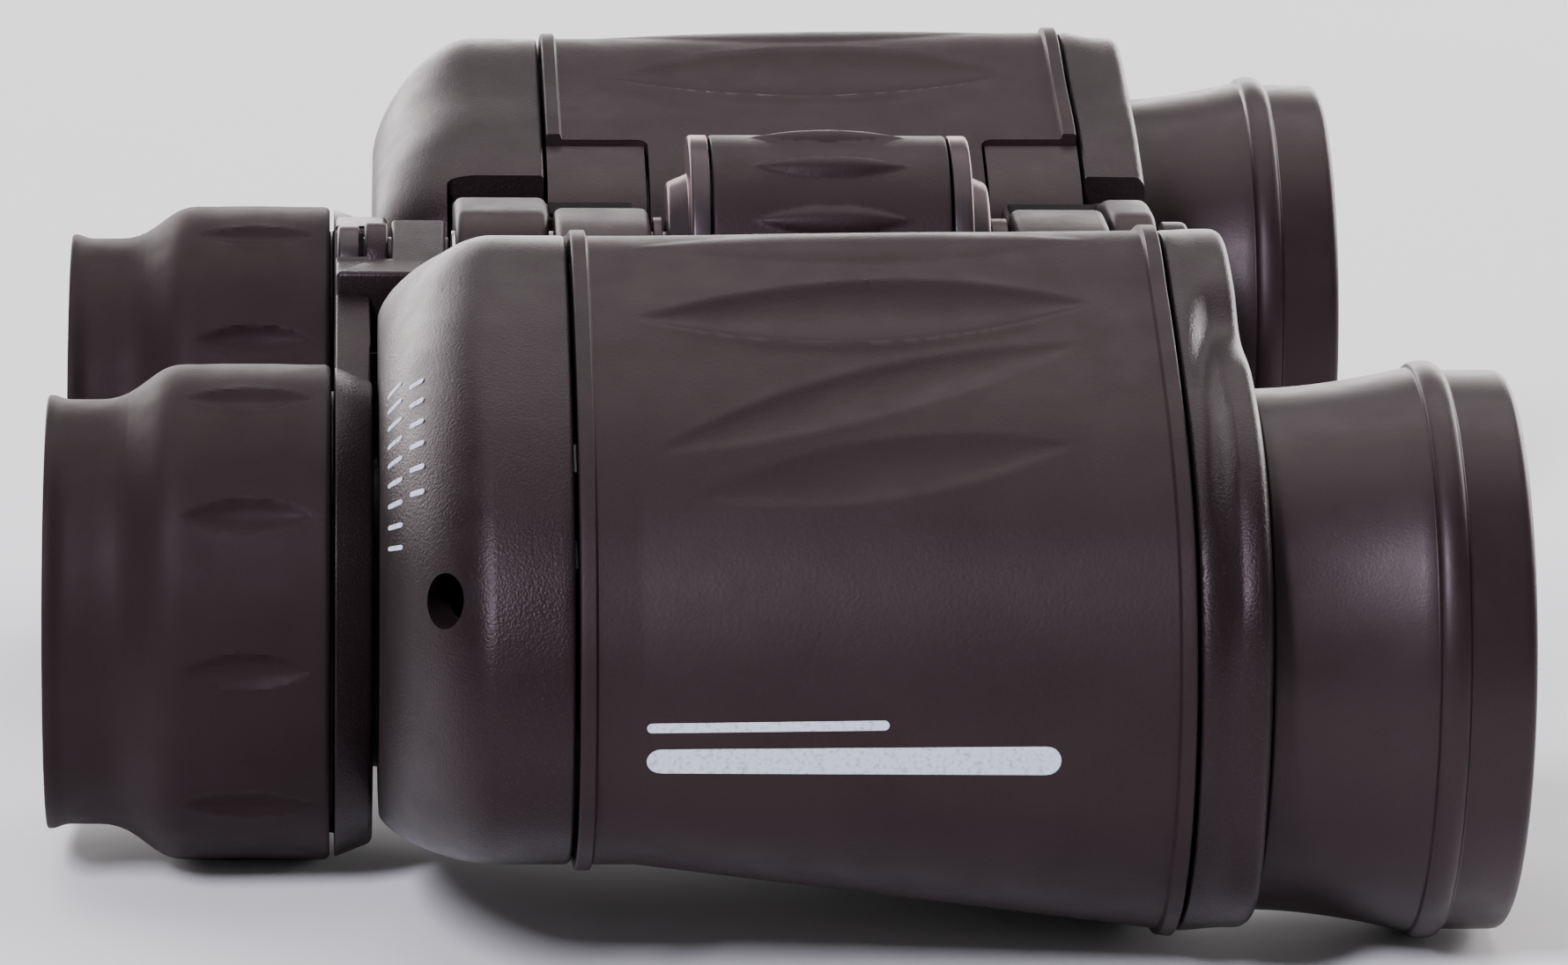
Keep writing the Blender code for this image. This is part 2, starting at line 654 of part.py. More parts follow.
def eyepiece(side, prefix, carriage, ocular, turning):
    """Everything between the arm and the eye on one side."""
    x = side * EYE_X
    tube = ring(prefix + "_eyepiece_tube", EYE_TUBE_R, EYE_TUBE_BORE_R, -44.9, EYE_TUBE_FRONT_Y, x, 0)
    finish(tube, carriage, "plastic")
    finish(bridge_arm(side, prefix + "_bridge_arm"), carriage, "plastic")
    stop = ring(prefix + "_field_stop", CELL_R, STOP_BORE_R, -27.8, -26.6, x, 0, SMALL_STEPS)
    finish(stop, carriage, "metal")
    field = lens(prefix + "_field_lens", CELL_R, -25.2, -22.8, 0.4, 1.2, x, 0)
    finish(field, carriage, "glass")
    cell = ring(prefix + "_ocular_cell", CELL_R, CELL_BORE_R, -47.2, -30.0, x, 0)
    finish(cell, ocular, "metal")
    eye = lens(prefix + "_eye_lens", CELL_BORE_R - LENS_FIT, -44.6, -41.8, 0.5, 1.8, x, 0)
    finish(eye, ocular, "glass")
    kind = "_dioptre_ring" if turning != carriage else "_eyepiece_ring"
    finish(ring(prefix + kind, RING_R, EYE_TUBE_R + RING_FIT, -45.0, -33.9, x, 0), turning, "plastic")
    finish(eyecup(side, prefix + "_eyecup"), turning, "rubber")
    retainer = ring(
        prefix + "_eyecup_retainer", CUP_BORE_R - GAP, RETAINER_BORE_R, CUP_FLOOR_Y + 0.1,
        COLLAR_STEP_Y, x, 0,
    )
    finish(retainer, turning, "plastic")


# ---------------------------------------------------------------- hinge and focus drive

def focus_wheel(name):
    """The wheel's core: two flanges, tapered collars, and a bore for the rod."""
    rear, front, recess = WHEEL_REAR_Y, WHEEL_FRONT_Y, 1.2
    floor_r = 9.4
    socket_r = AXLE_R + 0.2
    bore_r = ROD_R + 0.2
    profile = (
        (7.3, front + COLLAR_LENGTH), (8.0, front), (WHEEL_R - 0.3, front), (WHEEL_R, front - 0.3),
        (WHEEL_R, front - FLANGE_WIDTH), (floor_r, front - FLANGE_WIDTH),
        (floor_r, rear + FLANGE_WIDTH), (WHEEL_R, rear + FLANGE_WIDTH), (WHEEL_R, rear + 0.3),
        (WHEEL_R - 0.3, rear), (8.0, rear), (7.3, rear - COLLAR_LENGTH),
        (socket_r, rear - COLLAR_LENGTH), (socket_r, rear + recess), (bore_r, rear + recess),
        (bore_r, front - recess), (socket_r, front - recess), (socket_r, front + COLLAR_LENGTH),
    )
    return turned(name, profile, 0.0, HINGE_Z, FINE_STEPS)


def hinge():
    """The hinge's axles, washers and cap, the focus wheel and the rod that it drives."""
    z = HINGE_Z
    rings = (
        ("rear_hinge_axle", AXLE_R, ROD_R + 0.3, -24.2, -5.2),
        ("rear_thrust_washer", WASHER_R, AXLE_R + 0.2, -8.6, -7.9),
        ("front_thrust_washer", WASHER_R, AXLE_R + 0.2, 17.6, 18.9),
    )
    for name, outer, bore, rear, front in rings:
        finish(ring(name, outer, bore, rear, front, 0, z, SMALL_STEPS), "right_barrel", "steel")
    finish(rod("front_hinge_axle", AXLE_R, 14.9, 30.7, 0, z, SMALL_STEPS), "right_barrel", "steel")
    cap_profile = ((0, 33.0), (3.6, 33.0), (4.4, 32.2), (4.4, 31.0), (0, 31.0))
    cap = turned("tripod_socket_cap", cap_profile, 0, z, SMALL_STEPS, closed=False)
    finish(cap, "right_barrel", "plastic")
    finish(focus_wheel("focus_wheel_core"), "focus_wheel", "metal")
    grip = ring(
        "focus_wheel_grip", WHEEL_R, GRIP_BORE_R, WHEEL_REAR_Y + FLANGE_WIDTH + 0.2,
        WHEEL_FRONT_Y - FLANGE_WIDTH - 0.2, 0, z, FINE_STEPS,
    )
    finish(grip, "focus_wheel", "rubber")
    rod_profile = (
        (0, 8.0), (ROD_R, 8.0), (ROD_R, -24.4), (HUB_R, -24.4), (HUB_R, -31.0), (0, -31.0),
    )
    finish(turned("focus_rod", rod_profile, 0, z, SMALL_STEPS, closed=False), "right_carriage", "steel")
    screw = rod("bridge_screw", 3.9, -33.0, -31.3, 0, z, SMALL_STEPS)
    boolean(screw, box("bridge_screw_slot", (-5, -34, z - 0.4), (5, -32.3, z + 0.4)))
    finish(screw, "right_carriage", "steel")


# ---------------------------------------------------------------- assembly

def barrel(side, prefix, body):
    finish(body_shell(side, prefix + "_prism_housing"), body, "shell")
    finish(armour(side, prefix + "_armour"), body, "rubber")
    finish(rear_cover(side, prefix + "_rear_cover"), body, "plastic")
    finish(front_plate(side, prefix + "_front_plate"), body, "plastic")
    finish(objective_bell(side, prefix + "_objective_bell"), body, "rubber")
    finish(objective_tube(side, prefix + "_objective_tube"), body, "shell")
    x, z = side * OBJECTIVE_X, OBJECTIVE_Z
    finish(lens(prefix + "_objective_crown", LENS_R, 38.2, 40.0, 1.4, 1.6, x, z), body, "glass")
    finish(lens(prefix + "_objective_flint", LENS_R, 34.6, 37.9, 0.1, -1.4, x, z), body, "glass")
    finish(ring(prefix + "_lens_ring", LENS_R, 14.0, 40.4, 42.2, x, z), body, "metal")
    finish(prism_shelf(side, prefix + "_prism_shelf"), body, "metal")
    for first, where in ((True, "_rear"), (False, "_front")):
        finish(prism(side, prefix + where + "_prism", first), body, "glass")
        finish(prism_clip(side, prefix + where + "_prism_clip", first), body, "steel")


def main():
    barrel(1, "right", "right_barrel")
    barrel(-1, "left", "left_barrel")
    eyepiece(1, "right", "right_carriage", "right_ocular", "right_dioptre")
    eyepiece(-1, "left", "left_carriage", "left_carriage", "left_carriage")
    hinge()


clear_scene()
PARTS = new_collection("binoculars")
CUTTERS = new_collection("cutters")
FRAME = new_empty("binoculars", (0.0, CENTRE_Y, RESTING_HEIGHT))
EMPTIES = {name: new_empty(name, at, FRAME) for name, at in BODIES.items()}
main()
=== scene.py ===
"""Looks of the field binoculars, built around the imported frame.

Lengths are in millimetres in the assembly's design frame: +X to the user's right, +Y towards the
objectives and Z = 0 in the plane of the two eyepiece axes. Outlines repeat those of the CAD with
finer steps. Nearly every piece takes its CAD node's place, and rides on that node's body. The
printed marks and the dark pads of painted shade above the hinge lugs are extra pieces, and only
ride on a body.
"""

import json
import math

import bmesh
import bpy
import numpy as np
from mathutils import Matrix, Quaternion, Vector


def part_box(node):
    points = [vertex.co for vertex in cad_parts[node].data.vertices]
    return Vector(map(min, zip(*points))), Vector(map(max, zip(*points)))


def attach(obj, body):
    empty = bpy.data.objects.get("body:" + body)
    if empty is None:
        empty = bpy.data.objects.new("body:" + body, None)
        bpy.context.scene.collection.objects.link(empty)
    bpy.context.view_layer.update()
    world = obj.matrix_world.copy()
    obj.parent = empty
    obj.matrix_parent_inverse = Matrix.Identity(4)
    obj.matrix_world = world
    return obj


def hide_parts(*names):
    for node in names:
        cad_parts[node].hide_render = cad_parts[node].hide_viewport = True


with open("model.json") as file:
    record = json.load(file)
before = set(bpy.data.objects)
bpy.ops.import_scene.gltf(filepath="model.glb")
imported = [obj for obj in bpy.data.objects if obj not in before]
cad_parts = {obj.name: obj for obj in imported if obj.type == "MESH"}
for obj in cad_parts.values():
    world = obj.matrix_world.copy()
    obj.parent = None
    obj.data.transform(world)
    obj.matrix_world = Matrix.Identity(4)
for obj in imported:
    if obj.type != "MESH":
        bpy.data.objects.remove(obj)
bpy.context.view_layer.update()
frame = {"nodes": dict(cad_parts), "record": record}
RECORD = frame["record"]
BODY_OF = {n: body for body, nodes in RECORD["behaviour"]["bodies"].items() for n in nodes}
SLOT_OF = {row["node"]: row["material_slot"] for row in RECORD["subparts"]}

MM = 0.001


# ---------------------------------------------------------------- places, from the frame

def box_mm(node):
    low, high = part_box(node)
    return low / MM, high / MM


CUP_LOW, CUP_HIGH = box_mm("right_eyecup")
BELL_LOW, BELL_HIGH = box_mm("right_objective_bell")
WHEEL_LOW, WHEEL_HIGH = box_mm("focus_wheel_core")

RIM_Y = 50.0
RISE = (CUP_LOW.z + CUP_HIGH.z) / 2
SHIFT_Y = BELL_HIGH.y - RIM_Y
EYE_X = (CUP_LOW.x + CUP_HIGH.x) / 2
COLLAR_R = (CUP_HIGH.x - CUP_LOW.x) / 2
OBJECTIVE_X = (BELL_LOW.x + BELL_HIGH.x) / 2
OBJECTIVE_Z = (BELL_LOW.z + BELL_HIGH.z) / 2 - RISE
BEAD_R = (BELL_HIGH.x - BELL_LOW.x) / 2
HINGE_Z = (WHEEL_LOW.z + WHEEL_HIGH.z) / 2 - RISE
WHEEL_R = (WHEEL_HIGH.x - WHEEL_LOW.x) / 2

# Eyepieces
LIP_Y = CUP_LOW.y - SHIFT_Y
LIP_R = 16.08
NECK_R = 15.75
COLLAR_REAR_Y = -45.43
COLLAR_FRONT_Y = -33.54
ARM_REAR_Y = -33.2
ARM_FRONT_Y = -30.4
ARM_RING_R = 18.2
SPIGOT_R = 16.4
EYE_TUBE_R = 11.5
EYE_TUBE_BORE_R = 10.2
EYE_TUBE_REAR_Y = -44.9
EYE_TUBE_FRONT_Y = -21.0
CELL_R = 9.9
CUP_FLOOR_Y = -47.4
CUP_BORE_R = 13.8
CUP_SEAT_R = 16.7
CUP_SEAT_Y = -45.3

# Housings
COVER_REAR_Y = -30.0
COVER_DOME_Y = -22.0
ARMOUR_REAR_Y = -16.3
ARMOUR_SLOPE_Y = -12.0
ARMOUR_FRONT_Y = 26.2
PLATE_FRONT_Y = 31.3
ARMOUR_WALL = 1.7
SHELL_WALL = 1.6
COVER_WALL = 1.9
GAP = 0.3
POCKET_X = 22.0
POCKET_FLOOR_Z = 11.5
POCKETS = ((ARMOUR_REAR_Y, -8.2), (18.5, ARMOUR_FRONT_Y))
PAD_INSET = 0.35
NOTCH_X = 17.0
NOTCH_TOP_Z = 25.2
# The strap's hole slants through the rear cover's corner
STRAP_HOLE = (66.0, -22.6, 10.7)
STRAP_HOLE_R = 1.85
STRAP_HOLE_TURN = 62
STRAP_HOLE_LENGTH = 30
# Cutters for pockets and notches reach past the hinge axis and above the housings
CUTTER_X = -10.0
CUTTER_Z = 60.0

# Objectives
BELL_REAR_Y = 31.7
BELL_REAR_R = 18.6
BEAD_Y = 44.11
RIM_R = 20.0
TUBE_R = 16.4
LENS_R = 15.0

# Hinge and focus drive
LUG_R = 5.3
AXLE_R = 3.5
AXLE_FIT = 0.15
ROD_R = 2.0
WHEEL_REAR_Y = -6.0
WHEEL_FRONT_Y = 15.7
FLANGE_WIDTH = 1.5
LUG_REACH = 15.6
SPINES = ((-23.9, -9.5), (19.6, 30.4))
SPINE_X = (8.0, 14.0)
SPINE_Z = (14.2, 22.4)
RIGHT_LUGS = ((-16.3, -8.9), (19.2, 26.5))
LEFT_LUGS = ((-23.9, -16.7), (26.9, 30.4))
LUG_ROUND = 0.7
KNUCKLE_R = 4.3
RIGHT_KNUCKLE_Y = (-28.8, -24.7)
LEFT_KNUCKLE_Y = (-30.9, -29.1)
HUB_R = 3.0
WHEEL_FLOOR_R = 9.4
COLLAR_REACH = 1.6
WASHER_R = 4.6
CAP_R = 4.4

# Outlines of the right housing seen from behind, as (x, z), clockwise from the crest
REAR_SECTION = (
    (42.0, 30.5), (50.0, 28.7), (57.5, 25.6), (65.0, 21.3), (71.5, 15.4),
    (75.3, 9.0), (76.6, 2.0), (75.2, -3.6), (71.0, -7.6), (64.5, -10.2),
    (56.5, -11.8), (46.0, -13.5), (34.0, -14.2), (23.0, -11.6), (16.5, -4.0),
    (14.0, 5.0), (12.6, 14.0), (13.6, 21.6), (22.0, 26.0), (32.0, 28.4),
)
FRONT_SECTION = (
    (42.8, 31.2), (51.5, 28.5), (60.0, 25.0), (67.6, 21.2), (74.0, 16.1),
    (77.6, 10.0), (78.8, 3.0), (77.2, -4.5), (72.6, -10.8), (66.0, -14.6),
    (58.0, -16.1), (46.0, -16.3), (34.0, -15.3), (23.0, -12.0), (16.5, -4.0),
    (14.0, 5.0), (12.6, 14.0), (13.6, 21.6), (22.0, 26.2), (32.0, 28.7),
)
REAR_FACE = (
    (38.0, 21.2), (44.0, 20.6), (50.0, 18.8), (55.0, 15.6), (58.5, 11.5),
    (60.3, 7.0), (61.0, 2.0), (60.3, -2.5), (58.0, -6.3), (54.0, -9.0),
    (49.0, -10.6), (42.5, -11.6), (34.0, -12.2), (25.0, -9.6), (18.8, -3.0),
    (16.6, 5.0), (16.2, 13.0), (18.0, 18.5), (23.0, 20.6), (31.0, 21.2),
)
PLATE_SECTION = (
    (41.0, 31.0), (48.8, 29.2), (54.0, 26.3), (62.5, 25.2), (72.5, 20.9),
    (79.0, 13.2), (80.5, 5.5), (79.5, -1.6), (76.0, -9.4), (68.5, -13.7),
    (58.0, -15.4), (46.0, -15.5), (34.0, -14.7), (23.0, -11.8), (16.5, -4.0),
    (14.0, 5.0), (12.6, 14.0), (13.6, 21.6), (22.0, 26.2), (31.5, 28.9),
)

# Leaf-shaped finger grips pressed into the armour. A place counts outline points from the crest.
# Rear tip (place, y), front tip (place, y), half width in places, depth, upper and lower rim
LEAVES = (
    ((-0.79, -11.3), (-0.76, 21.7), 0.47, 0.85, 0.42, 0.05),
    ((0.28, -12.0), (0.17, 21.5), 0.36, -0.35, 0.0, 0.0),
    ((1.55, -12.1), (1.15, 20.8), 0.47, 1.00, 0.12, 0.25),
    ((3.23, -11.2), (1.72, 20.0), 0.31, 0.34, 0.08, 0.05),
    ((3.66, -8.5), (3.04, 18.8), 0.31, 0.34, 0.03, 0.05),
)


# ---------------------------------------------------------------- curves

# Steps between an outline's points
FINE = 24
PLAIN = 12
# Steps in a rounded corner, and the bend below which a corner stays as it is
CORNER_STEPS = 5
SLIGHT_BEND = math.radians(14)


def outline(section, steps):
    """A smooth closed Catmull-Rom curve through the section's points, as rows of (x, z)."""
    points = np.array(section)
    before, after, beyond = (np.roll(points, -k, axis=0) for k in (-1, 1, 2))
    t = (np.arange(steps) / steps)[None, :, None]
    a, b, c, d = (p[:, None, :] for p in (before, points, after, beyond))
    curve = 0.5 * (2 * b + (c - a) * t + (2 * a - 5 * b + 4 * c - d) * t * t
                   + (3 * b - a - 3 * c + d) * t ** 3)
    return curve.reshape(-1, 2)


def outward(curve):
    """Unit normals that point out of a clockwise closed (x, z) curve."""
    along = np.roll(curve, -1, axis=0) - np.roll(curve, 1, axis=0)
    along /= np.linalg.norm(along, axis=1)[:, None]
    return np.stack((-along[:, 1], along[:, 0]), axis=1)


def inset(curve, distance):
    return curve - outward(curve) * np.reshape(distance, (-1, 1))


def mix(first, second, share):
    return first + (second - first) * share


def body_curve(y, steps=FINE):
    """The armour's outer outline at a station."""
    share = max((y - ARMOUR_SLOPE_Y) / (ARMOUR_FRONT_Y - ARMOUR_SLOPE_Y), 0.0)
    return mix(outline(REAR_SECTION, steps), outline(FRONT_SECTION, steps), share)


def cover_curve(depth):
    """The rear cover's outline: depth runs from 0 where the dome starts to 1 at the rear face."""
    shoulder = 0.72 * depth ** 1.8
    corner = 0.28 * (1 - math.sqrt(max(1 - depth ** 7, 0.0)))
    return mix(outline(REAR_SECTION, FINE), outline(REAR_FACE, FINE), shoulder + corner)


def plate_curve(share):
    return mix(outline(FRONT_SECTION, FINE), outline(PLATE_SECTION, FINE), share)


def circle_facing(curve, x, z, radius):
    """Points on a circle, each on the line from the centre to the matching point of a curve."""
    spokes = curve - np.array((x, z))
    return np.array((x, z)) + radius * spokes / np.linalg.norm(spokes, axis=1)[:, None]


def rounded(profile, radius, closed=True):
    """A (radius, y) profile with its sharp corners rounded off on the inside."""
    points = [np.array(p[:2], float) for p in profile]
    radii = [p[2] if len(p) > 2 else radius for p in profile]
    count = len(points)
    made = []
    for i, corner in enumerate(points):
        if not closed and i in (0, count - 1):
            made.append(corner)
            continue
        back = points[i - 1] - corner
        on = points[(i + 1) % count] - corner
        back_length, on_length = np.linalg.norm(back), np.linalg.norm(on)
        bend = math.pi - math.acos(np.clip(back @ on / back_length / on_length, -1, 1))
        if bend < SLIGHT_BEND:
            made.append(corner)
            continue
        reach = min(radii[i], 0.45 * back_length, 0.45 * on_length)
        start = corner + back / back_length * reach
        end = corner + on / on_length * reach
        for t in np.linspace(0, 1, CORNER_STEPS):
            made.append((1 - t) ** 2 * start + 2 * t * (1 - t) * corner + t * t * end)
    return made


def refined(profile, step):
    """The same closed profile with no segment longer than a step."""
    made = []
    for start, end in zip(profile, profile[1:] + profile[:1]):
        parts = max(1, math.ceil(np.linalg.norm(end - start) / step))
        made += [start + (end - start) * k / parts for k in range(parts)]
    return made


def lip(distance, radius):
    """How far a rounded edge has fallen away at a distance from the edge's end."""
    gone = max(radius - distance, 0.0)
    return radius - math.sqrt(radius ** 2 - gone ** 2)


def step_up(value, start, width):
    """A smooth step from 0 to 1."""
    t = np.clip((value - start) / width, 0, 1)
    return t * t * (3 - 2 * t)


# ---------------------------------------------------------------- meshes

def link(name, mesh):
    obj = bpy.data.objects.new(name, mesh)
    bpy.context.scene.collection.objects.link(obj)
    return obj


def mesh_from(bm, name):
    bmesh.ops.remove_doubles(bm, verts=bm.verts, dist=0.002 * MM)
    bmesh.ops.recalc_face_normals(bm, faces=bm.faces)
    mesh = bpy.data.meshes.new(name)
    bm.to_mesh(mesh)
    bm.free()
    return mesh


def grid(name, points, close_rows=True):
    """A surface through a (rows, columns, 3) array of places in the design frame.

    Columns always close on themselves. Rows close too, or else the two ends are filled.
    """
    rows, columns, _ = points.shape
    places = (points + np.array((0.0, SHIFT_Y, RISE))) * MM
    index = np.arange(rows * columns).reshape(rows, columns)
    if close_rows:
        index = np.vstack((index, index[:1]))
    index = np.hstack((index, index[:, :1]))
    quads = np.stack((index[:-1, :-1], index[:-1, 1:], index[1:, 1:], index[1:, :-1]), axis=-1)
    rough = bpy.data.meshes.new(name)
    rough.from_pydata(places.reshape(-1, 3).tolist(), [], quads.reshape(-1, 4).tolist())
    bm = bmesh.new()
    bm.from_mesh(rough)
    bpy.data.meshes.remove(rough)
    if not close_rows:
        bmesh.ops.holes_fill(bm, edges=[e for e in bm.edges if e.is_boundary], sides=0)
    return link(name, mesh_from(bm, name))


def wrap(name, side, rings, closed=True):
    """A body through rings of (curve, y), mirrored for the left side."""
    points = [np.column_stack((side * c[:, 0], np.full(len(c), y), c[:, 1])) for c, y in rings]
    return grid(name, np.array(points), close_rows=closed)


def turned(name, profile, x, z, columns=144, radius=0.15, relief=None, step=None, closed=True):
    """A profile of (radius, y) turned about the line through (x, z) along Y, corners rounded."""
    points = rounded(profile, radius, closed=closed)
    if step:
        points = refined(points, step)
    points = np.array(points)
    angle = np.linspace(0, 2 * math.pi, columns, endpoint=False)[None, :]
    radii = np.repeat(points[:, :1], columns, axis=1)
    y = np.repeat(points[:, 1:], columns, axis=1)
    if relief:
        radii = radii + relief(angle, y, radii)
    return grid(name, np.stack((x + radii * np.cos(angle), y, z + radii * np.sin(angle)), -1), closed)


def slab(name, outer, rear, front, radius):
    """An (x, z) outline between two planes across Y, its two ends rounded. It runs clockwise."""
    curve = np.array(outer)
    rings = []
    for turn in np.linspace(0, math.pi / 2, 5):
        rings.append((radius * (1 - math.sin(turn)), rear + radius * (1 - math.cos(turn))))
    rings += [(fall, rear + front - y) for fall, y in reversed(rings)]
    return wrap(name, 1, [(inset(curve, fall), y) for fall, y in rings], closed=False)


def block(name, low, high, radius=0.0):
    """A box with its edges rounded."""
    bm = bmesh.new()
    bmesh.ops.create_cube(bm, size=1.0)
    for vert in bm.verts:
        for axis, move in enumerate((0.0, SHIFT_Y, RISE)):
            middle = (low[axis] + high[axis]) / 2 + move
            vert.co[axis] = (middle + vert.co[axis] * (high[axis] - low[axis])) * MM
    if radius:
        bmesh.ops.bevel(bm, geom=list(bm.edges), offset=radius * MM, segments=4, profile=0.5,
                        affect="EDGES")
    return link(name, mesh_from(bm, name))


def sided(side, low, high):
    """The corners of a box given for the right side, or of its mirror image."""
    xs = sorted((side * low[0], side * high[0]))
    return (xs[0], *low[1:]), (xs[1], *high[1:])


def combine(obj, other, operation="DIFFERENCE"):
    """Cuts or joins another body, which is then removed."""
    modifier = obj.modifiers.new(other.name, "BOOLEAN")
    modifier.operation = operation
    modifier.object = other
    modifier.solver = "EXACT"
    evaluated = obj.evaluated_get(bpy.context.evaluated_depsgraph_get())
    mesh = bpy.data.meshes.new_from_object(evaluated)
    obj.modifiers.clear()
    obj.data = mesh
    bpy.data.objects.remove(other)
    return obj


def smooth(obj, degrees=30):
    obj.data.shade_smooth()
    obj.data.set_sharp_from_angle(angle=math.radians(degrees))
    return obj


def stand_for(obj, node):
    """The piece takes a CAD node's place: its body, and the finish of its slot."""
    obj.name = node + "_look"
    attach(obj, BODY_OF[node])
    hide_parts(node)
    obj.data.materials.clear()
    obj.data.materials.append(FINISHES[SLOT_OF[node]])
    return smooth(obj)


# ---------------------------------------------------------------- materials

class Nodes:
    """Short hand for building one material's node tree."""

    def __init__(self, name):
        self.material = bpy.data.materials.new(name)
        self.material.use_nodes = True
        self.tree = self.material.node_tree
        self.shader = self.tree.nodes["Principled BSDF"]
        self.place = self.add("ShaderNodeTexCoord").outputs["Object"]

    def add(self, kind, **settings):
        node = self.tree.nodes.new(kind)
        for key, value in settings.items():
            setattr(node, key, value)
        return node

    def wire(self, value, socket):
        if isinstance(value, bpy.types.NodeSocket):
            self.tree.links.new(value, socket)
        else:
            socket.default_value = value

    def noise(self, size, detail=2.0, stretch=(1.0, 1.0, 1.0)):
        """Noise whose features are about this many millimetres across."""
        scaled = self.add("ShaderNodeMapping")
        self.wire(self.place, scaled.inputs["Vector"])
        scaled.inputs["Scale"].default_value = [1 / (size * MM * s) for s in stretch]
        node = self.add("ShaderNodeTexNoise")
        node.inputs["Scale"].default_value = 1.0
        node.inputs["Detail"].default_value = detail
        self.wire(scaled.outputs["Vector"], node.inputs["Vector"])
        return node.outputs["Fac"]

    def between(self, value, low, high, start=0.0, end=1.0):
        """Maps a value's range low..high to start..end."""
        node = self.add("ShaderNodeMapRange")
        for number, key in ((low, "From Min"), (high, "From Max"), (start, "To Min"), (end, "To Max")):
            node.inputs[key].default_value = number
        self.wire(value, node.inputs["Value"])
        return node.outputs["Result"]

    def blend(self, share, first, second):
        node = self.add("ShaderNodeMix", data_type="RGBA")
        self.wire(share, node.inputs["Factor"])
        for colour, key in ((first, "A"), (second, "B")):
            sockets = [s for s in node.inputs if s.name == key and s.type == "RGBA"]
            self.wire(colour, sockets[0])
        return [s for s in node.outputs if s.type == "RGBA"][0]

    def bump(self, height, distance):
        node = self.add("ShaderNodeBump")
        node.inputs["Distance"].default_value = distance * MM
        node.inputs["Strength"].default_value = 1.0
        self.wire(height, node.inputs["Height"])
        return node.outputs["Normal"]


def shade(colour, factor):
    return (*(min(c * factor, 1.0) for c in colour), 1.0)


CLOUD_SIZE = 9.0
POLISH_SIZE = 3.0
POLISH_SPREAD = 0.05
WARM_SHEEN = (1.0, 0.80, 0.85, 1.0)


def moulded(name, colour, roughness, grain, depth, *, painted_glint=0.0, specular=0.5, metallic=0.0,
            stretch=(1.0, 1.0, 1.0)):
    """A moulded or turned surface: grain, cloudy tone, bright specks of painted glint and an uneven
    polish.

    Grain is the width of the fine bumps and depth their height, both in millimetres.
    """
    n = Nodes(name)
    cloud = n.noise(CLOUD_SIZE, detail=4.0)
    fine = n.noise(grain, detail=3.0, stretch=stretch)
    tone = n.blend(n.between(cloud, 0.35, 0.65), shade(colour, 0.88), shade(colour, 1.12))
    tone = n.blend(n.between(fine, 0.4, 0.75, 0.0, 0.35), tone, shade(colour, 1.5))
    # Bright specks painted into the colour stand in for glints of light off the grain.
    if painted_glint:
        glint_specks = n.noise(grain * 0.7, detail=1.0)
        tone = n.blend(n.between(glint_specks, 0.62, 0.74, 0.0, painted_glint), tone, shade(colour, 7.0))
    n.wire(tone, n.shader.inputs["Base Color"])
    polish = n.noise(POLISH_SIZE, detail=5.0)
    n.wire(n.between(polish, 0.3, 0.7, roughness - POLISH_SPREAD, roughness + POLISH_SPREAD),
           n.shader.inputs["Roughness"])
    n.wire(n.bump(fine, depth), n.shader.inputs["Normal"])
    n.shader.inputs["Metallic"].default_value = metallic
    n.shader.inputs["Specular IOR Level"].default_value = specular
    n.shader.inputs["Specular Tint"].default_value = WARM_SHEEN
    return n.material


def glass(name, colour, coat_tint, tint_weight):
    """Polished glass with a coloured coating and a little dust."""
    n = Nodes(name)
    dust = n.between(n.noise(0.5, detail=4.0), 0.6, 0.85, 0.0, 1.0)
    n.wire(n.blend(dust, (*colour, 1.0), shade(colour, 0.8)), n.shader.inputs["Base Color"])
    n.wire(n.between(dust, 0.0, 1.0, 0.01, 0.16), n.shader.inputs["Roughness"])
    n.shader.inputs["Transmission Weight"].default_value = 1.0
    n.shader.inputs["IOR"].default_value = 1.52
    n.shader.inputs["Coat Weight"].default_value = tint_weight
    n.shader.inputs["Coat Tint"].default_value = (*coat_tint, 1.0)
    n.shader.inputs["Coat Roughness"].default_value = 0.02
    return n.material


def printed_ink(name, colour):
    """Pad-printed ink, a little worn, with the rubber's grain showing through."""
    n = Nodes(name)
    worn = n.between(n.noise(0.35, detail=4.0), 0.3, 0.5, 0.0, 1.0)
    n.wire(n.blend(worn, shade(colour, 0.62), shade(colour, 1.0)), n.shader.inputs["Base Color"])
    n.wire(n.between(worn, 0.0, 1.0, 0.75, 0.55), n.shader.inputs["Roughness"])
    n.wire(n.bump(n.noise(0.25), 0.02), n.shader.inputs["Normal"])
    return n.material


# Grain drawn out into rings around Y, as a lathe leaves it
RING_LINES = (60.0, 1.0, 60.0)
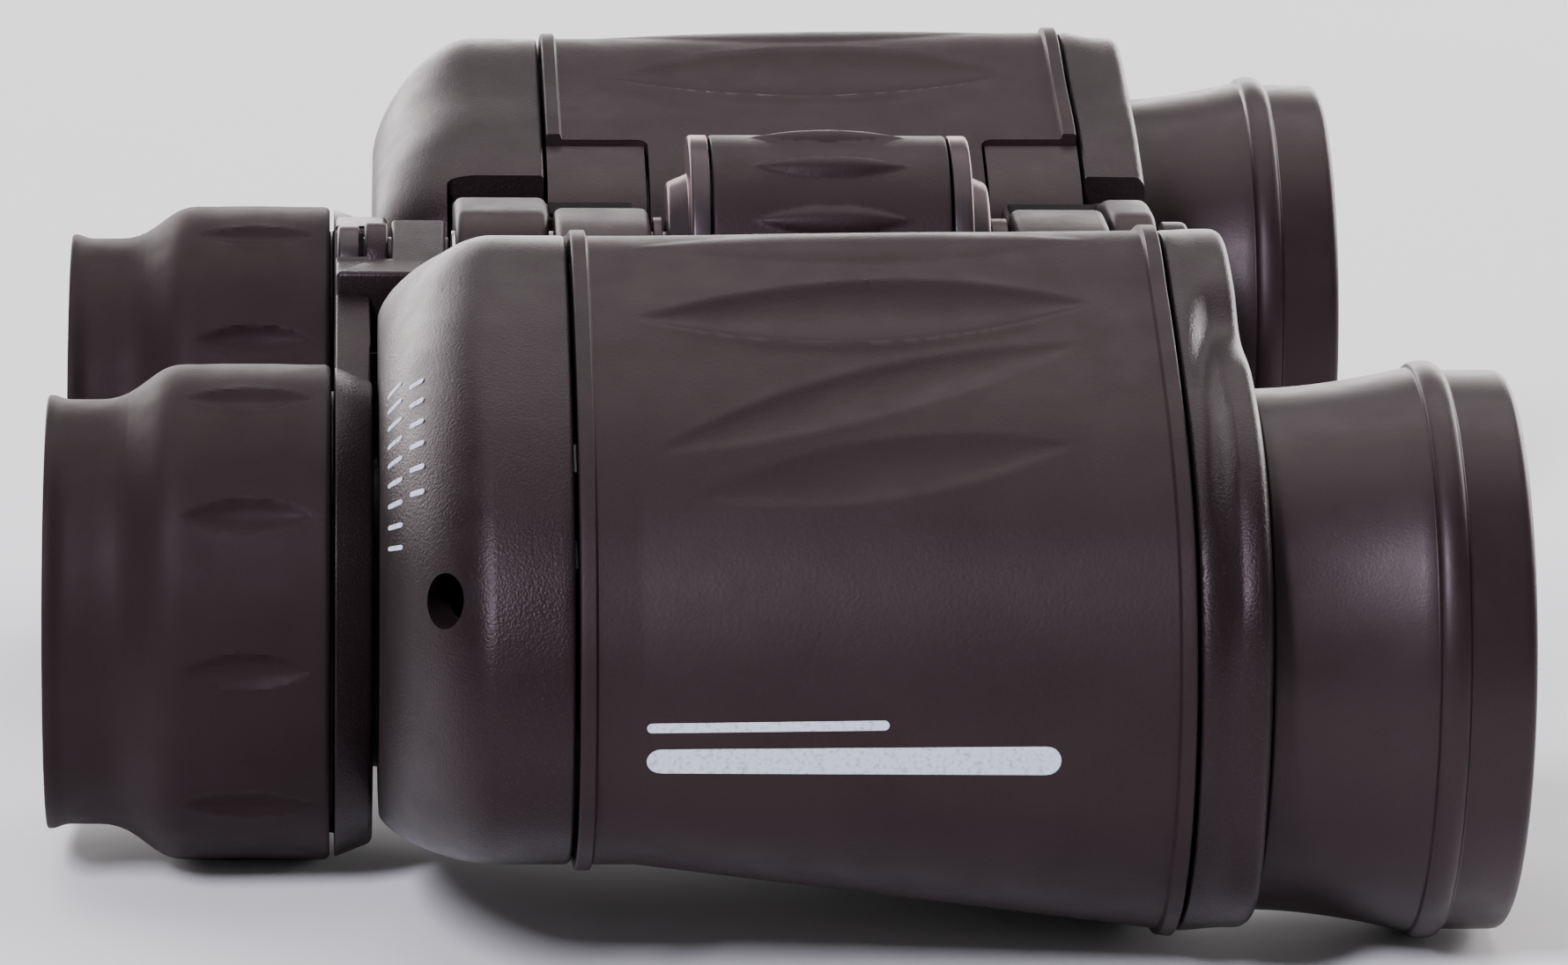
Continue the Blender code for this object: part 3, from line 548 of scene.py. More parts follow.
# Colour, roughness, grain and its depth, by the record's material slot
FINISHES = {
    "armour_rubber": moulded("armour_rubber", (0.0170, 0.0112, 0.0118), 0.50, 0.28, 0.020,
                             specular=0.20),
    "eyecup_rubber": moulded("eyecup_rubber", (0.0155, 0.0100, 0.0104), 0.58, 0.25, 0.014,
                             specular=0.15),
    "bell_rubber": moulded("bell_rubber", (0.0150, 0.0098, 0.0106), 0.40, 0.22, 0.010, specular=0.28),
    "housing_shell": moulded("housing_shell", (0.0180, 0.0122, 0.0126), 0.45, 0.35, 0.020,
                             specular=0.26),
    # The satin plastic carries painted glints in its colour.
    "satin_plastic": moulded("satin_plastic", (0.0100, 0.0066, 0.0070), 0.38, 0.20, 0.040,
                             specular=0.24, painted_glint=0.30),
    "black_metal": moulded("black_metal", (0.040, 0.033, 0.035), 0.36, 0.10, 0.004, metallic=0.6,
                           stretch=RING_LINES, specular=0.4),
    "steel": moulded("steel", (0.48, 0.48, 0.49), 0.30, 0.08, 0.003, metallic=1.0,
                     stretch=RING_LINES),
    "coated_glass": glass("coated_glass", (0.90, 0.94, 0.97), (0.55, 0.42, 0.95), 0.6),
    "prism_glass": glass("prism_glass", (0.93, 0.97, 0.95), (0.9, 0.95, 1.0), 0.1),
}
INK = printed_ink("ink", (0.62, 0.66, 0.78))
# A near-black rough material for the pads that paint the shade of the recess above the hinge lugs.
SHADE_FELT = moulded("painted_shade_felt", (0.006, 0.005, 0.005), 0.85, 0.5, 0.15, specular=0.1)

# Name, place, half size (in places, and in millimetres where the end rounds off), rear, front
MARK_BARS = (
    ("mark_bar", 6.25, (0.145, 1.0), -11.7, 16.9),
    ("mark_line", 5.87, (0.05, 0.35), -11.7, 5.0),
)
# First place, last place, count, rear, front
TICK_ROWS = ((1.94, 4.08, 9, -29.5, -28.5), (2.13, 3.50, 6, -28.0, -27.0))


# ---------------------------------------------------------------- housings

def leaf_relief(place, y):
    """Height of the pressed leaves above the armour, along one station's outline."""
    height = np.zeros_like(place)
    count = len(REAR_SECTION)
    for (rear_place, rear_y), (front_place, front_y), half, depth, upper, lower in LEAVES:
        along = (2 * y - rear_y - front_y) / (front_y - rear_y)
        if abs(along) >= 1:
            continue
        taper = 1 - along ** 2
        middle = mix(rear_place, front_place, (along + 1) / 2)
        offset = (place - middle + count / 2) % count - count / 2
        across = offset / (half * taper)
        hollow = np.clip(1 - across ** 2, 0, None)
        beyond = (np.abs(across) - 1) * half * taper / 0.10
        rim = np.where(across < 0, upper, lower) * np.exp(-beyond ** 2)
        height += taper * (rim * (1 - hollow) - depth * hollow)
    return height


def armour(side, node):
    """The rubber armour: raised borders, pressed leaves and pockets around the hinge lugs."""
    rib_height, rib_width, edge_round, spacing = 0.42, 1.15, 0.2, 0.3
    near_edge = [0.0, 0.03, 0.08, 0.14, 0.2, 0.5, 0.9, 1.05, 1.12, 1.19, 1.26, 1.35, 1.5]
    middle = np.arange(ARMOUR_REAR_Y + 1.8, ARMOUR_FRONT_Y - 1.7, spacing)
    stations = [ARMOUR_REAR_Y + d for d in near_edge] + list(middle)
    stations += [ARMOUR_FRONT_Y - d for d in reversed(near_edge)]
    place = np.arange(len(REAR_SECTION) * FINE) / FINE
    rings = []
    for y in stations:
        edge = min(y - ARMOUR_REAR_Y, ARMOUR_FRONT_Y - y)
        rib = rib_height * (1 - step_up(edge, rib_width - 0.1, 0.22))
        height = leaf_relief(place, y) + rib - lip(edge, edge_round)
        rings.append((inset(body_curve(y), -height), y))
    for y in (ARMOUR_FRONT_Y, ARMOUR_SLOPE_Y, ARMOUR_REAR_Y):
        rings.append((inset(body_curve(y), ARMOUR_WALL), y))
    obj = wrap(node, side, rings)
    for rear, front in ((POCKETS[0][0] - 6, POCKETS[0][1]), (POCKETS[1][0], POCKETS[1][1] + 6)):
        low, high = sided(side, (CUTTER_X, rear, POCKET_FLOOR_Z), (POCKET_X, front, CUTTER_Z))
        combine(obj, block(node + "_pocket", low, high, 0.9))
    return stand_for(obj, node)


def lug_outline(side):
    """A hinge lug seen from behind: round on the axis, with an arm to the housing."""
    top = HINGE_Z + LUG_R
    bottom = HINGE_Z - LUG_R
    arc = [math.radians(a) for a in range(270, 89, -6)]
    points = [(LUG_R * math.cos(a), HINGE_Z + LUG_R * math.sin(a)) for a in arc]
    xs = np.linspace(2.0, LUG_REACH, 8)
    points += [(x, top - 2.6 * step_up(x, 3.0, LUG_REACH)) for x in xs]
    points += [(x, bottom - 2.0 * step_up(x, 3.0, LUG_REACH)) for x in reversed(xs)]
    points = [(side * x, z) for x, z in points]
    return points if side > 0 else points[::-1]


def pocket_pad(side, name, rear, front):
    """The housing's raised face in a pocket, nearly flush with the armour around it."""
    stations = np.linspace(rear, front, 4)
    skin = [(inset(body_curve(y), PAD_INSET), y) for y in stations]
    obj = wrap(name, side, skin, closed=False)
    low, high = sided(side, (CUTTER_X, rear - 4, POCKET_FLOOR_Z + GAP),
                      (POCKET_X - GAP, front + 4, CUTTER_Z))
    combine(obj, block(name + "_keep", low, high, 0.7), "INTERSECT")
    root_depth = ARMOUR_WALL + GAP + SHELL_WALL / 2
    root = [(inset(body_curve(y), root_depth), y) for y in (rear - 1, front + 1)]
    return combine(obj, wrap(name + "_root", side, root, closed=False))


def housing(side, node):
    """The hard prism housing, with the two lugs that carry the hinge."""
    rings = []
    for depth, stations in (
        (ARMOUR_WALL + GAP, (ARMOUR_REAR_Y, ARMOUR_SLOPE_Y, 0.0, 12.0, ARMOUR_FRONT_Y)),
        (ARMOUR_WALL + GAP + SHELL_WALL, (ARMOUR_FRONT_Y, 12.0, 0.0, ARMOUR_SLOPE_Y, ARMOUR_REAR_Y)),
    ):
        rings += [(inset(body_curve(y, PLAIN), depth), y) for y in stations]
    obj = wrap(node, side, rings)
    for rear, front in ((POCKETS[0][0], POCKETS[0][1] - GAP), (POCKETS[1][0] + GAP, POCKETS[1][1])):
        combine(obj, pocket_pad(side, node + "_pad", rear, front), "UNION")
    for rear, front in (RIGHT_LUGS if side > 0 else LEFT_LUGS):
        combine(obj, slab(node + "_lug", lug_outline(side), rear, front, LUG_ROUND), "UNION")
    if side < 0:
        for rear, front in SPINES:
            low, high = sided(side, (SPINE_X[0], rear, SPINE_Z[0]), (SPINE_X[1], front, SPINE_Z[1]))
            combine(obj, block(node + "_spine", low, high, 0.6), "UNION")
    bore = ((0.0, -40.0), (AXLE_R + AXLE_FIT, -40.0), (AXLE_R + AXLE_FIT, 50.0), (0.0, 50.0))
    combine(obj, turned(node + "_bore", bore, 0.0, HINGE_Z, 48, closed=False))
    return stand_for(obj, node)


def rear_cover(side, node):
    """The domed cover behind the prisms, bored for the eyepiece tube and the strap."""
    front = ARMOUR_REAR_Y - GAP
    dome = COVER_DOME_Y - COVER_REAR_Y
    bore_r = EYE_TUBE_R + 0.6
    rings = []
    for back in (0.0, 0.04, 0.1, 0.2, 0.35, 1.0, 3.0):
        rings.append((inset(cover_curve(0.0), lip(back, 0.35)), front - back))
    depths = np.sin(np.linspace(0, math.pi / 2, 44))
    for depth in depths:
        rings.append((cover_curve(depth), COVER_DOME_Y - depth * dome))
    face = cover_curve(1.0)
    hole = circle_facing(face, EYE_X, 0.0, bore_r)
    rings += [(mix(face, hole, share), COVER_REAR_Y) for share in (0.33, 0.66, 0.97)]
    rings.append((hole, COVER_REAR_Y + 0.1))
    inner_face = inset(cover_curve(0.97), COVER_WALL)
    rings += [(hole, COVER_REAR_Y + COVER_WALL), (inner_face, COVER_REAR_Y + COVER_WALL)]
    for depth in (0.97, 0.9, 0.8, 0.6, 0.4, 0.2, 0.0):
        rings.append((inset(cover_curve(depth), COVER_WALL), COVER_DOME_Y - depth * dome + COVER_WALL))
    rings.append((inset(cover_curve(0.0), COVER_WALL), front))
    obj = wrap(node, side, rings)
    low, high = sided(side, (CUTTER_X, -24.3, POCKET_FLOOR_Z), (NOTCH_X, -6.0, NOTCH_TOP_Z))
    combine(obj, block(node + "_notch", low, high, 0.5))
    combine(obj, strap_hole(side, node + "_strap_hole"))
    return stand_for(obj, node)


def strap_hole(side, name):
    """A cutter for the strap's hole, which runs slanting through the cover's corner."""
    bm = bmesh.new()
    radius = STRAP_HOLE_R * MM
    bmesh.ops.create_cone(bm, cap_ends=True, segments=48, radius1=radius, radius2=radius,
                          depth=STRAP_HOLE_LENGTH * MM)
    slant = Quaternion((0, 0, 1), side * math.radians(STRAP_HOLE_TURN))
    turn = slant @ Quaternion((1, 0, 0), math.pi / 2)
    x, y, z = STRAP_HOLE
    place = Vector((side * x, y + SHIFT_Y, z + RISE)) * MM
    for vert in bm.verts:
        vert.co = turn @ vert.co + place
    return link(name, mesh_from(bm, name))


def front_plate(side, node):
    """The plate that closes the prism housing, with a waist and a rounded front edge."""
    rear = ARMOUR_FRONT_Y + GAP
    rear_round, edge_round, wall, waist = 0.3, 0.9, 2.2, 2.6
    recess_y = PLATE_FRONT_Y - wall
    rings = []
    for turn in np.linspace(0, math.pi / 2, 4):
        fall = rear_round * (1 - math.sin(turn))
        rings.append((inset(plate_curve(0.0), fall), rear + rear_round * (1 - math.cos(turn))))
    for share in (0.15, 0.35, 0.55, 0.8, 1.0):
        rings.append((plate_curve(step_up(share, 0.0, 1.0)), rear + rear_round + share * waist))
    for turn in np.linspace(0, math.pi / 2, 7):
        fall = edge_round * (1 - math.cos(turn))
        y = PLATE_FRONT_Y - edge_round * (1 - math.sin(turn))
        rings.append((inset(plate_curve(1.0), fall), y))
    face = inset(plate_curve(1.0), edge_round)
    hole = circle_facing(face, OBJECTIVE_X, OBJECTIVE_Z, TUBE_R + GAP)
    rings += [(mix(face, hole, share), PLATE_FRONT_Y) for share in (0.3, 0.65, 0.98)]
    rings += [(hole, PLATE_FRONT_Y - 0.1), (hole, recess_y)]
    recess = inset(plate_curve(0.0), wall)
    rings += [(recess, recess_y), (recess, rear)]
    obj = wrap(node, side, rings)
    low, high = sided(side, (CUTTER_X, 15.0, POCKET_FLOOR_Z), (NOTCH_X, 45.0, NOTCH_TOP_Z))
    combine(obj, block(node + "_notch", low, high, 0.5))
    return stand_for(obj, node)


# ---------------------------------------------------------------- marks and painted shade pads

def curve_at(curve, places):
    """Points of a closed curve at places, which count outline points from the crest."""
    closed = np.vstack((curve, curve[:1]))
    index = np.array(places) % len(REAR_SECTION) * FINE
    return np.column_stack([np.interp(index, np.arange(len(closed)), closed[:, k]) for k in (0, 1)])


def mark(name, curve_of, place, half, rear, front, lift):
    """A plain printed bar with rounded ends on the right barrel."""
    length = front - rear
    rings = []
    for t in np.linspace(0, math.pi, 41):
        y = rear + length * (1 - math.cos(t)) / 2
        reach = min((y - rear) / half[1], (front - y) / half[1], 1.0)
        spread = np.linspace(-1, 1, 7) * half[0] * max(math.sqrt(1 - (1 - reach) ** 2), 0.05)
        top = curve_at(inset(curve_of(y), -lift), place + spread)
        low = curve_at(inset(curve_of(y), lift), place + spread[::-1])
        rings.append((np.vstack((top, low)), y))
    obj = wrap(name, 1, rings, closed=False)
    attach(obj, "right_barrel")
    obj.data.materials.append(INK)
    smooth(obj)


def marks():
    """Two plain bars on the armour and two rows of ticks on the cover, in place of any text."""
    for name, place, half, rear, front in MARK_BARS:
        mark(name, body_curve, place, half, rear, front, 0.03)

    def dome(y):
        return cover_curve((COVER_DOME_Y - y) / (COVER_DOME_Y - COVER_REAR_Y))

    for row, (first, last, count, rear, front) in enumerate(TICK_ROWS):
        for k, place in enumerate(np.linspace(first, last, count)):
            mark(f"tick_{row}_{k}", dome, place, (0.028, 0.15), rear, front, 0.08)


def lug_shade_pads():
    """Dark rough pads along the tops of the left housing's spines: painted shade for the recess above the
    hinge lugs.
    """
    for name, rear, front in (("rear_lug_shade_pad", -16.4, -9.7), ("front_lug_shade_pad", 20.0, 28.4)):
        low = (-SPINE_X[1] + 1.0, rear, SPINE_Z[1] - 0.2)
        high = (-SPINE_X[0] - 0.3, front, SPINE_Z[1] + 0.25)
        obj = block(name, low, high, 0.2)
        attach(obj, "left_barrel")
        obj.data.materials.append(SHADE_FELT)
        smooth(obj)


# ---------------------------------------------------------------- objectives

def objective_bell(side, node):
    """The rubber bell: a concave flare, a rounded bead and a plain rim around the lens."""
    flare_front = BEAD_Y - 1.3
    flare = [
        (BELL_REAR_R + 1.5 * t ** 1.8, BELL_REAR_Y + (flare_front - BELL_REAR_Y) * t)
        for t in np.linspace(0, 1, 16)
    ]
    bead = []
    for t in np.linspace(-1, 1, 15):
        foot = flare[-1][0] if t < 0 else RIM_R
        bead.append((foot + (BEAD_R - foot) * math.sqrt(1 - t * t), BEAD_Y + 0.1 + 1.15 * t))
    rim = [(RIM_R, RIM_Y, 1.0), (18.0, RIM_Y, 0.4), (17.6, RIM_Y - 1.2), (16.7, RIM_Y - 5.2)]
    back = [(TUBE_R + GAP, RIM_Y - 5.6), (TUBE_R + GAP, BELL_REAR_Y)]
    profile = flare + bead + rim + back
    return stand_for(turned(node, profile, side * OBJECTIVE_X, OBJECTIVE_Z, 240, 0.25), node)


def lens(node, radius, rear, front, rear_bulge, front_bulge, x, z):
    """A round lens: rear and front are its rim's planes, and a bulge is positive outwards."""
    shares = np.linspace(0, 1, 10)[:-1]
    face = [(radius * s, front + front_bulge * (1 - s * s)) for s in shares]
    back = [(radius * s, rear - rear_bulge * (1 - s * s)) for s in shares[::-1]]
    profile = face + [(radius, front), (radius, rear)] + back
    return stand_for(turned(node, profile, x, z, 96, 0.1, closed=False), node)


def objective(side, prefix):
    x, z = side * OBJECTIVE_X, OBJECTIVE_Z
    objective_bell(side, prefix + "_objective_bell")
    tube = ((TUBE_R, 44.4), (TUBE_R, 26.6), (13.6, 26.6), (13.6, 34.2), (LENS_R + 0.2, 34.2),
            (LENS_R + 0.2, 44.4))
    stand_for(turned(prefix + "_objective_tube_fine", tube, x, z), prefix + "_objective_tube")
    ring = ((LENS_R, 42.2), (LENS_R, 40.4), (14.0, 40.4), (14.2, 41.4), (14.2, 42.2))
    stand_for(turned(prefix + "_lens_ring_fine", ring, x, z), prefix + "_lens_ring")
    lens(prefix + "_objective_crown", LENS_R, 38.2, 40.0, 1.4, 1.6, x, z)
    lens(prefix + "_objective_flint", LENS_R, 34.6, 37.9, 0.1, -1.4, x, z)


# ---------------------------------------------------------------- eyepieces

DIMPLES = 10
DIMPLE_LENGTH = 9.8
DIMPLE_WIDTH = 2.75
DIMPLE_DEPTH = 0.55


def dimple_relief(angle, y, radii):
    """Hollows around the collar that fingers grip, as leaves along the axis."""
    pitch = 2 * math.pi / DIMPLES
    along = (y - (COLLAR_REAR_Y + COLLAR_FRONT_Y) / 2) / (DIMPLE_LENGTH / 2)
    taper = np.clip(1 - along ** 2, 1e-6, None)
    arc = ((angle + pitch / 2) % pitch - pitch / 2) * COLLAR_R
    across = arc / (DIMPLE_WIDTH / 2 * taper)
    hollow = np.clip(1 - across ** 2, 0, None)
    rim = 0.07 * np.exp(-((np.abs(across) - 1) * taper * DIMPLE_WIDTH / 1.1) ** 2) * (1 - hollow)
    height = taper * (rim - DIMPLE_DEPTH * hollow)
    return np.where((np.abs(along) < 1) & (radii > COLLAR_R - 0.05), height, 0.0)


def eyecup(side, node):
    """The rubber eyecup, in one with the collar that is gripped to turn it."""
    profile = (
        (CUP_SEAT_R, COLLAR_FRONT_Y), (COLLAR_R - 0.25, COLLAR_FRONT_Y), (COLLAR_R, COLLAR_FRONT_Y - 0.3),
        (COLLAR_R, COLLAR_REAR_Y, 1.2), (NECK_R, -49.0, 1.5), (NECK_R, -53.0, 0.6),
        (LIP_R, LIP_Y + 0.5, 0.3), (LIP_R, LIP_Y, 0.35), (15.0, LIP_Y, 0.5), (14.3, -50.0),
        (CUP_BORE_R, CUP_FLOOR_Y, 0.4), (CUP_BORE_R, CUP_SEAT_Y), (CUP_SEAT_R, CUP_SEAT_Y),
    )
    obj = turned(node, profile, side * EYE_X, 0.0, 360, 0.15, dimple_relief, 0.3)
    return stand_for(obj, node)


def knuckle_outline(side):
    arc = [math.radians(a) for a in range(265, 94, -6)]
    points = [(KNUCKLE_R * math.cos(a), HINGE_Z + KNUCKLE_R * math.sin(a)) for a in arc]
    points += [(7.0, HINGE_Z + 2.4), (7.0, HINGE_Z - 3.6)]
    points = [(side * x, z) for x, z in points]
    return points if side > 0 else points[::-1]


def bridge_arm(side, node):
    """The arm that carries one eyepiece and turns about the hub on the hinge axis."""
    rear_y, front_y = RIGHT_KNUCKLE_Y if side > 0 else LEFT_KNUCKLE_Y
    spigot_y = ARM_REAR_Y - 0.4
    ring = ((ARM_RING_R - 1.1, ARM_FRONT_Y, 0.5), (ARM_RING_R, ARM_REAR_Y, 0.2), (SPIGOT_R, ARM_REAR_Y),
            (SPIGOT_R, spigot_y), (EYE_TUBE_R + GAP, spigot_y), (EYE_TUBE_R + GAP, ARM_FRONT_Y))
    obj = turned(node, ring, side * EYE_X, 0.0, 180, 0.2)
    bar = [(6.2, 22.0), (18.5, 17.0), (24.0, 14.5), (18.2, 6.0), (12.0, 9.0), (6.2, 14.5)]
    bar = [(side * x, z) for x, z in bar]
    bar = bar if side > 0 else bar[::-1]
    combine(obj, slab(node + "_bar", bar, ARM_REAR_Y + 0.1, ARM_FRONT_Y - 0.1, 0.2), "UNION")
    low, high = sided(side, (5.6, ARM_REAR_Y + 0.1, 15.4), (11.2, front_y, 21.8))
    combine(obj, block(node + "_web", low, high, 0.4), "UNION")
    combine(obj, slab(node + "_knuckle", knuckle_outline(side), rear_y, front_y, 0.3), "UNION")
    bore = ((0.0, -50.0), (HUB_R + AXLE_FIT, -50.0), (HUB_R + AXLE_FIT, -10.0), (0.0, -10.0))
    combine(obj, turned(node + "_bore", bore, 0.0, HINGE_Z, 48, closed=False))
    return stand_for(obj, node)


def plain_ring(node, outer, bore, rear, front, x, z, radius=0.15):
    profile = ((outer, front), (outer, rear), (bore, rear), (bore, front))
    return stand_for(turned(node + "_fine", profile, x, z, 120, radius), node)


def eyepiece(side, prefix):
    x = side * EYE_X
    eyecup(side, prefix + "_eyecup")
    bridge_arm(side, prefix + "_bridge_arm")
    plain_ring(prefix + "_eyepiece_tube", EYE_TUBE_R, EYE_TUBE_BORE_R, EYE_TUBE_REAR_Y,
               EYE_TUBE_FRONT_Y, x, 0.0)
    plain_ring(prefix + "_field_stop", CELL_R, 6.5, -27.8, -26.6, x, 0.0)
    plain_ring(prefix + "_ocular_cell", CELL_R, 8.9, -47.2, -30.0, x, 0.0, 0.2)
    kind = "_dioptre_ring" if side > 0 else "_eyepiece_ring"
    plain_ring(prefix + kind, SPIGOT_R, EYE_TUBE_R + 0.4, -45.0, -33.9, x, 0.0)
    retainer = ((CUP_BORE_R - GAP, CUP_SEAT_Y), (CUP_BORE_R - GAP, CUP_FLOOR_Y + 0.1, 0.4),
                (12.0, CUP_FLOOR_Y + 0.1, 0.5), (10.8, -46.2, 0.2), (10.8, CUP_SEAT_Y))
    stand_for(turned("retainer", retainer, x, 0.0), prefix + "_eyecup_retainer")
    lens(prefix + "_field_lens", CELL_R, -25.2, -22.8, 0.4, 1.2, x, 0.0)
    lens(prefix + "_eye_lens", 8.7, -44.6, -41.8, 0.5, 1.8, x, 0.0)


# ---------------------------------------------------------------- hinge and focus drive

WHEEL_RIBS = 13
WHEEL_RIB_LENGTH = 12.2
WHEEL_RIB_WIDTH = 2.6
WHEEL_RIB_HEIGHT = 0.6
TOP = math.pi / 2


def rib_relief(angle, y, radii):
    """Raised leaves along the grip."""
    pitch = 2 * math.pi / WHEEL_RIBS
    along = (y - (WHEEL_REAR_Y + WHEEL_FRONT_Y) / 2) / (WHEEL_RIB_LENGTH / 2)
    taper = np.clip(1 - along ** 2, 1e-6, None)
    arc = ((angle - TOP + pitch / 2) % pitch - pitch / 2) * WHEEL_R
    across = np.clip(np.abs(arc) / (WHEEL_RIB_WIDTH / 2 * taper), 0, 1)
    height = WHEEL_RIB_HEIGHT * taper * (1 - across ** 2)
    return np.where((np.abs(along) < 1) & (radii > WHEEL_R - 0.05), height, 0.0)


def focus_wheel():
    """The wheel's two flanges and tapered collars, and the ribbed rubber grip between them."""
    rear, front = WHEEL_REAR_Y, WHEEL_FRONT_Y
    flange = FLANGE_WIDTH
    axle_bore, rod_bore = AXLE_R + 0.2, ROD_R + 0.2
    core = (
        (7.3, front + COLLAR_REACH, 0.3), (8.0, front), (WHEEL_R, front, 0.35),
        (WHEEL_R, front - flange), (WHEEL_FLOOR_R, front - flange), (WHEEL_FLOOR_R, rear + flange),
        (WHEEL_R, rear + flange), (WHEEL_R, rear, 0.35), (8.0, rear),
        (7.3, rear - COLLAR_REACH, 0.3), (axle_bore, rear - COLLAR_REACH), (axle_bore, rear + 1.2),
        (rod_bore, rear + 1.2), (rod_bore, front - 1.2), (axle_bore, front - 1.2),
        (axle_bore, front + COLLAR_REACH),
    )
    stand_for(turned("wheel_core", core, 0.0, HINGE_Z, 144, 0.12), "focus_wheel_core")
    low, high = rear + flange + 0.2, front - flange - 0.2
    grip = ((WHEEL_R, high, 0.25), (WHEEL_R, low, 0.25), (9.7, low), (9.7, high))
    obj = turned("wheel_grip", grip, 0.0, HINGE_Z, 312, 0.1, rib_relief, 0.25)
    stand_for(obj, "focus_wheel_grip")


def hinge():
    """The axles, washers, cap, rod and screw along the hinge axis."""
    z = HINGE_Z
    focus_wheel()
    plain_ring("rear_hinge_axle", AXLE_R, ROD_R + 0.3, -24.2, -5.2, 0.0, z)
    plain_ring("rear_thrust_washer", WASHER_R, AXLE_R + 0.2, -8.6, -7.9, 0.0, z, 0.08)
    plain_ring("front_thrust_washer", WASHER_R, AXLE_R + 0.2, 17.6, 18.9, 0.0, z, 0.1)
    axle = ((0.0, 30.7), (AXLE_R, 30.7), (AXLE_R, 14.9), (0.0, 14.9))
    stand_for(turned("front_axle", axle, 0.0, z, closed=False), "front_hinge_axle")
    cap = ((0.0, 33.0), (3.0, 33.0), (CAP_R, 33.0, 1.0), (CAP_R, 31.0), (0.0, 31.0))
    stand_for(turned("socket_cap", cap, 0.0, z, closed=False), "tripod_socket_cap")
    rod = ((0.0, 8.0), (ROD_R, 8.0), (ROD_R, -24.4), (HUB_R, -24.4), (HUB_R, -31.0), (0.0, -31.0))
    stand_for(turned("drive_rod", rod, 0.0, z, closed=False), "focus_rod")
    head = ((0.0, -31.3), (3.9, -31.3), (3.9, -33.0, 0.4), (0.0, -33.0))
    screw = turned("bridge_screw_head", head, 0.0, z, closed=False)
    combine(screw, block("screw_slot", (-5, -34, z - 0.4), (5, -32.3, z + 0.4)))
    stand_for(screw, "bridge_screw")


# ---------------------------------------------------------------- stage, light and camera

# In metres, and in millimetres
FLOOR_HALF = 3.0
FLOOR_CLEARANCE = 0.02

# Name, place, width, height, power in watts, colour. Places and sizes are in metres.
SOFTBOX_TARGET = (0.0, 0.0, 0.02)
SOFTBOXES = (
    ("top_softbox", (-0.3, 0.0, 0.85), 0.9, 1.0, 6.0, (1.0, 0.97, 0.97)),
    ("back_softbox", (-1.3, 0.0, 0.24), 2.6, 0.32, 24.0, (1.0, 0.93, 0.94)),
    ("front_fill", (1.5, 0.0, 0.55), 1.6, 0.5, 0.8, (1.0, 1.0, 1.0)),
    ("rear_end_softbox", (-1.2, -1.0, 0.55), 0.9, 0.8, 9.0, (1.0, 0.96, 0.97)),
    ("front_end_softbox", (-0.9, 1.3, 0.55), 1.0, 0.8, 34.0, (1.0, 0.96, 0.97)),
    ("strip_softbox", (0.62, -0.33, 0.62), 0.10, 0.34, 9.5, (0.88, 0.86, 1.0)),
)
ROOM_COLOUR = (1.0, 0.95, 0.97, 1.0)
ROOM_STRENGTH = 0.22

# Angles in degrees, lengths in metres, lens and sensor in millimetres
CAMERA_AZIMUTH = -3.27
CAMERA_ELEVATION = 12.775
CAMERA_ROLL = 0.847
CAMERA_DISTANCE = 0.65033
CAMERA_TARGET = (0.0, 0.00408, 0.02128)
CAMERA_LENS = 191.22
CAMERA_SENSOR = 36.0


def floor():
    """A pale floor that the eyecups' collars and the bells' beads rest on."""
    collar_y = (COLLAR_FRONT_Y + SHIFT_Y) * MM
    bead_y = (BEAD_Y + SHIFT_Y) * MM
    slope = BELL_LOW.z * MM / (bead_y - collar_y)
    half = FLOOR_HALF
    bm = bmesh.new()
    corners = [
        bm.verts.new((x, y, (y - collar_y) * slope - FLOOR_CLEARANCE * MM))
        for x, y in ((-half, -half), (half, -half), (half, half), (-half, half))
    ]
    bm.faces.new(corners)
    mesh = bpy.data.meshes.new("floor")
    bm.to_mesh(mesh)
    bm.free()
    obj = link("floor", mesh)
    n = Nodes("floor_paper")
    n.wire(n.blend(n.noise(30.0), (0.86, 0.86, 0.87, 1.0), (0.88, 0.88, 0.885, 1.0)),
           n.shader.inputs["Base Color"])
    n.shader.inputs["Roughness"].default_value = 0.9
    n.shader.inputs["Specular IOR Level"].default_value = 0.1
    obj.data.materials.append(n.material)


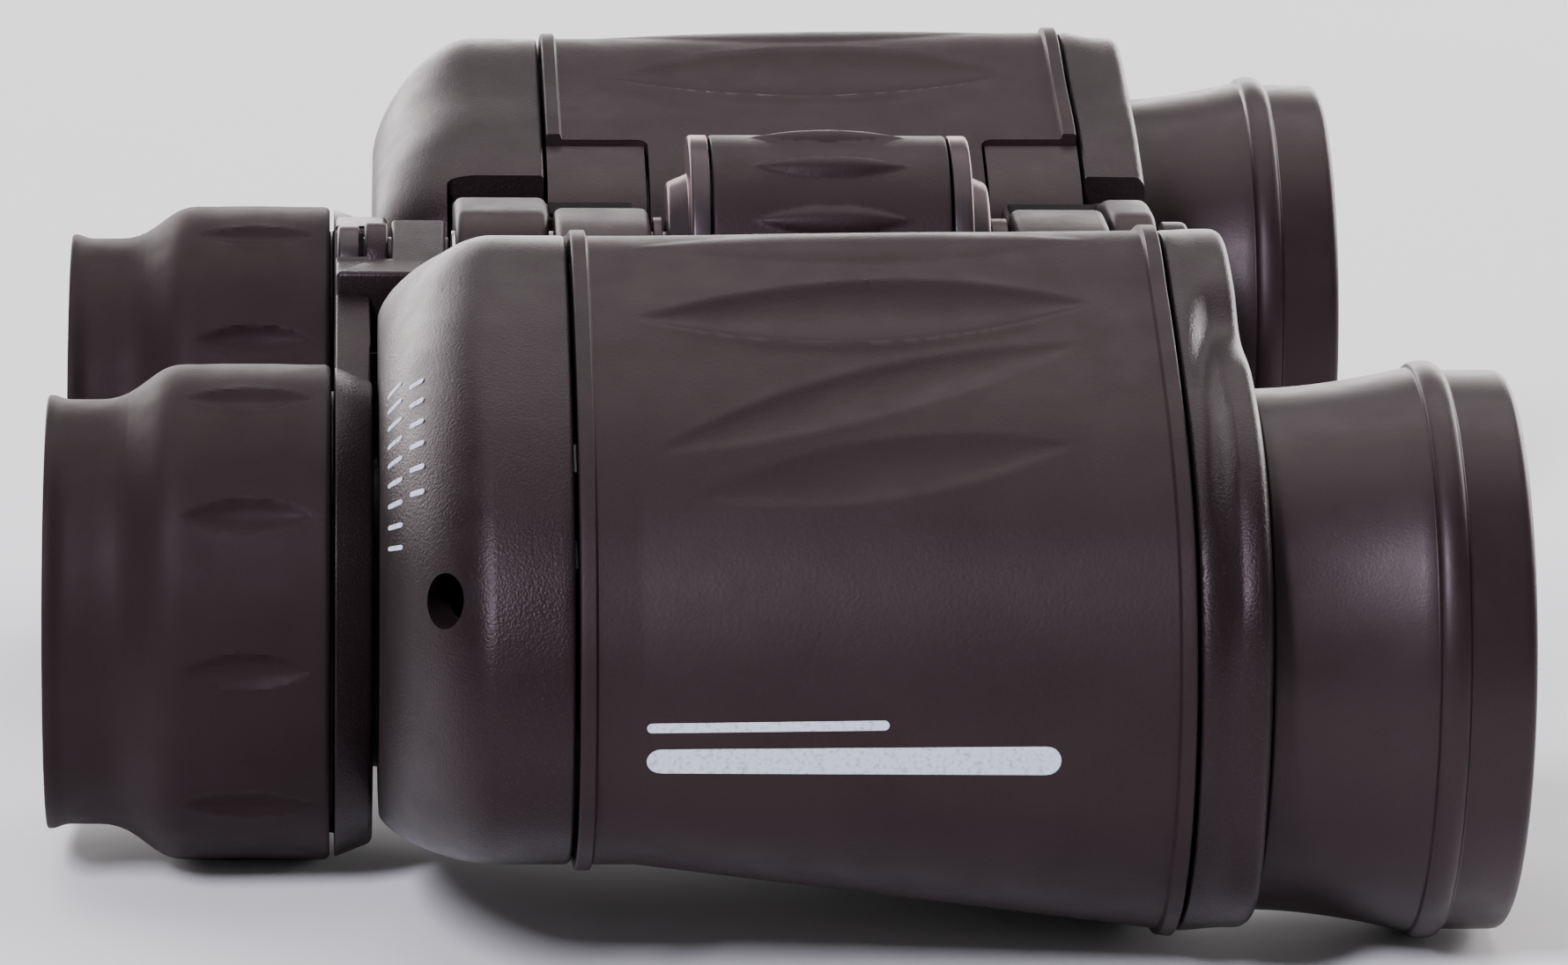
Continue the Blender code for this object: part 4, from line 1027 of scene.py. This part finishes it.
def softbox(name, place, width, height, power, colour):
    data = bpy.data.lights.new(name, "AREA")
    data.shape = "RECTANGLE"
    data.size = width
    data.size_y = height
    data.energy = power
    data.color = colour
    obj = bpy.data.objects.new(name, data)
    obj.location = place
    obj.rotation_mode = "QUATERNION"
    obj.rotation_quaternion = (Vector(place) - Vector(SOFTBOX_TARGET)).to_track_quat("Z", "Y")
    bpy.context.scene.collection.objects.link(obj)


def lights():
    """Light from behind and both ends, so that slopes facing the camera stay dark."""
    world = bpy.data.worlds.new("studio")
    world.use_nodes = True
    background = world.node_tree.nodes["Background"]
    background.inputs["Color"].default_value = ROOM_COLOUR
    background.inputs["Strength"].default_value = ROOM_STRENGTH
    bpy.context.scene.world = world
    for row in SOFTBOXES:
        softbox(*row)


def camera():
    azimuth = math.radians(CAMERA_AZIMUTH)
    elevation = math.radians(CAMERA_ELEVATION)
    back = Vector((
        math.cos(elevation) * math.cos(azimuth), math.cos(elevation) * math.sin(azimuth),
        math.sin(elevation),
    ))
    data = bpy.data.cameras.new("camera")
    data.lens = CAMERA_LENS
    data.sensor_width = CAMERA_SENSOR
    data.clip_start = 0.01
    obj = bpy.data.objects.new("camera", data)
    obj.location = Vector(CAMERA_TARGET) + back * CAMERA_DISTANCE
    roll = Quaternion(back, math.radians(CAMERA_ROLL))
    obj.rotation_mode = "QUATERNION"
    obj.rotation_quaternion = roll @ back.to_track_quat("Z", "Y")
    bpy.context.scene.collection.objects.link(obj)
    bpy.context.scene.camera = obj


# ---------------------------------------------------------------- assembly

def barrel(side, prefix):
    for make, kind in ((armour, "_armour"), (housing, "_prism_housing"), (rear_cover, "_rear_cover"),
                       (front_plate, "_front_plate")):
        make(side, prefix + kind)
    objective(side, prefix)


def kept_nodes():
    """CAD nodes whose shape is already right get the fine finishes."""
    for node, obj in frame["nodes"].items():
        if not obj.hide_render:
            obj.data.materials.clear()
            obj.data.materials.append(FINISHES[SLOT_OF[node]])


camera()
for side_sign, side_name in ((1, "right"), (-1, "left")):
    barrel(side_sign, side_name)
    eyepiece(side_sign, side_name)
hinge()
marks()
lug_shade_pads()
kept_nodes()
floor()
lights()
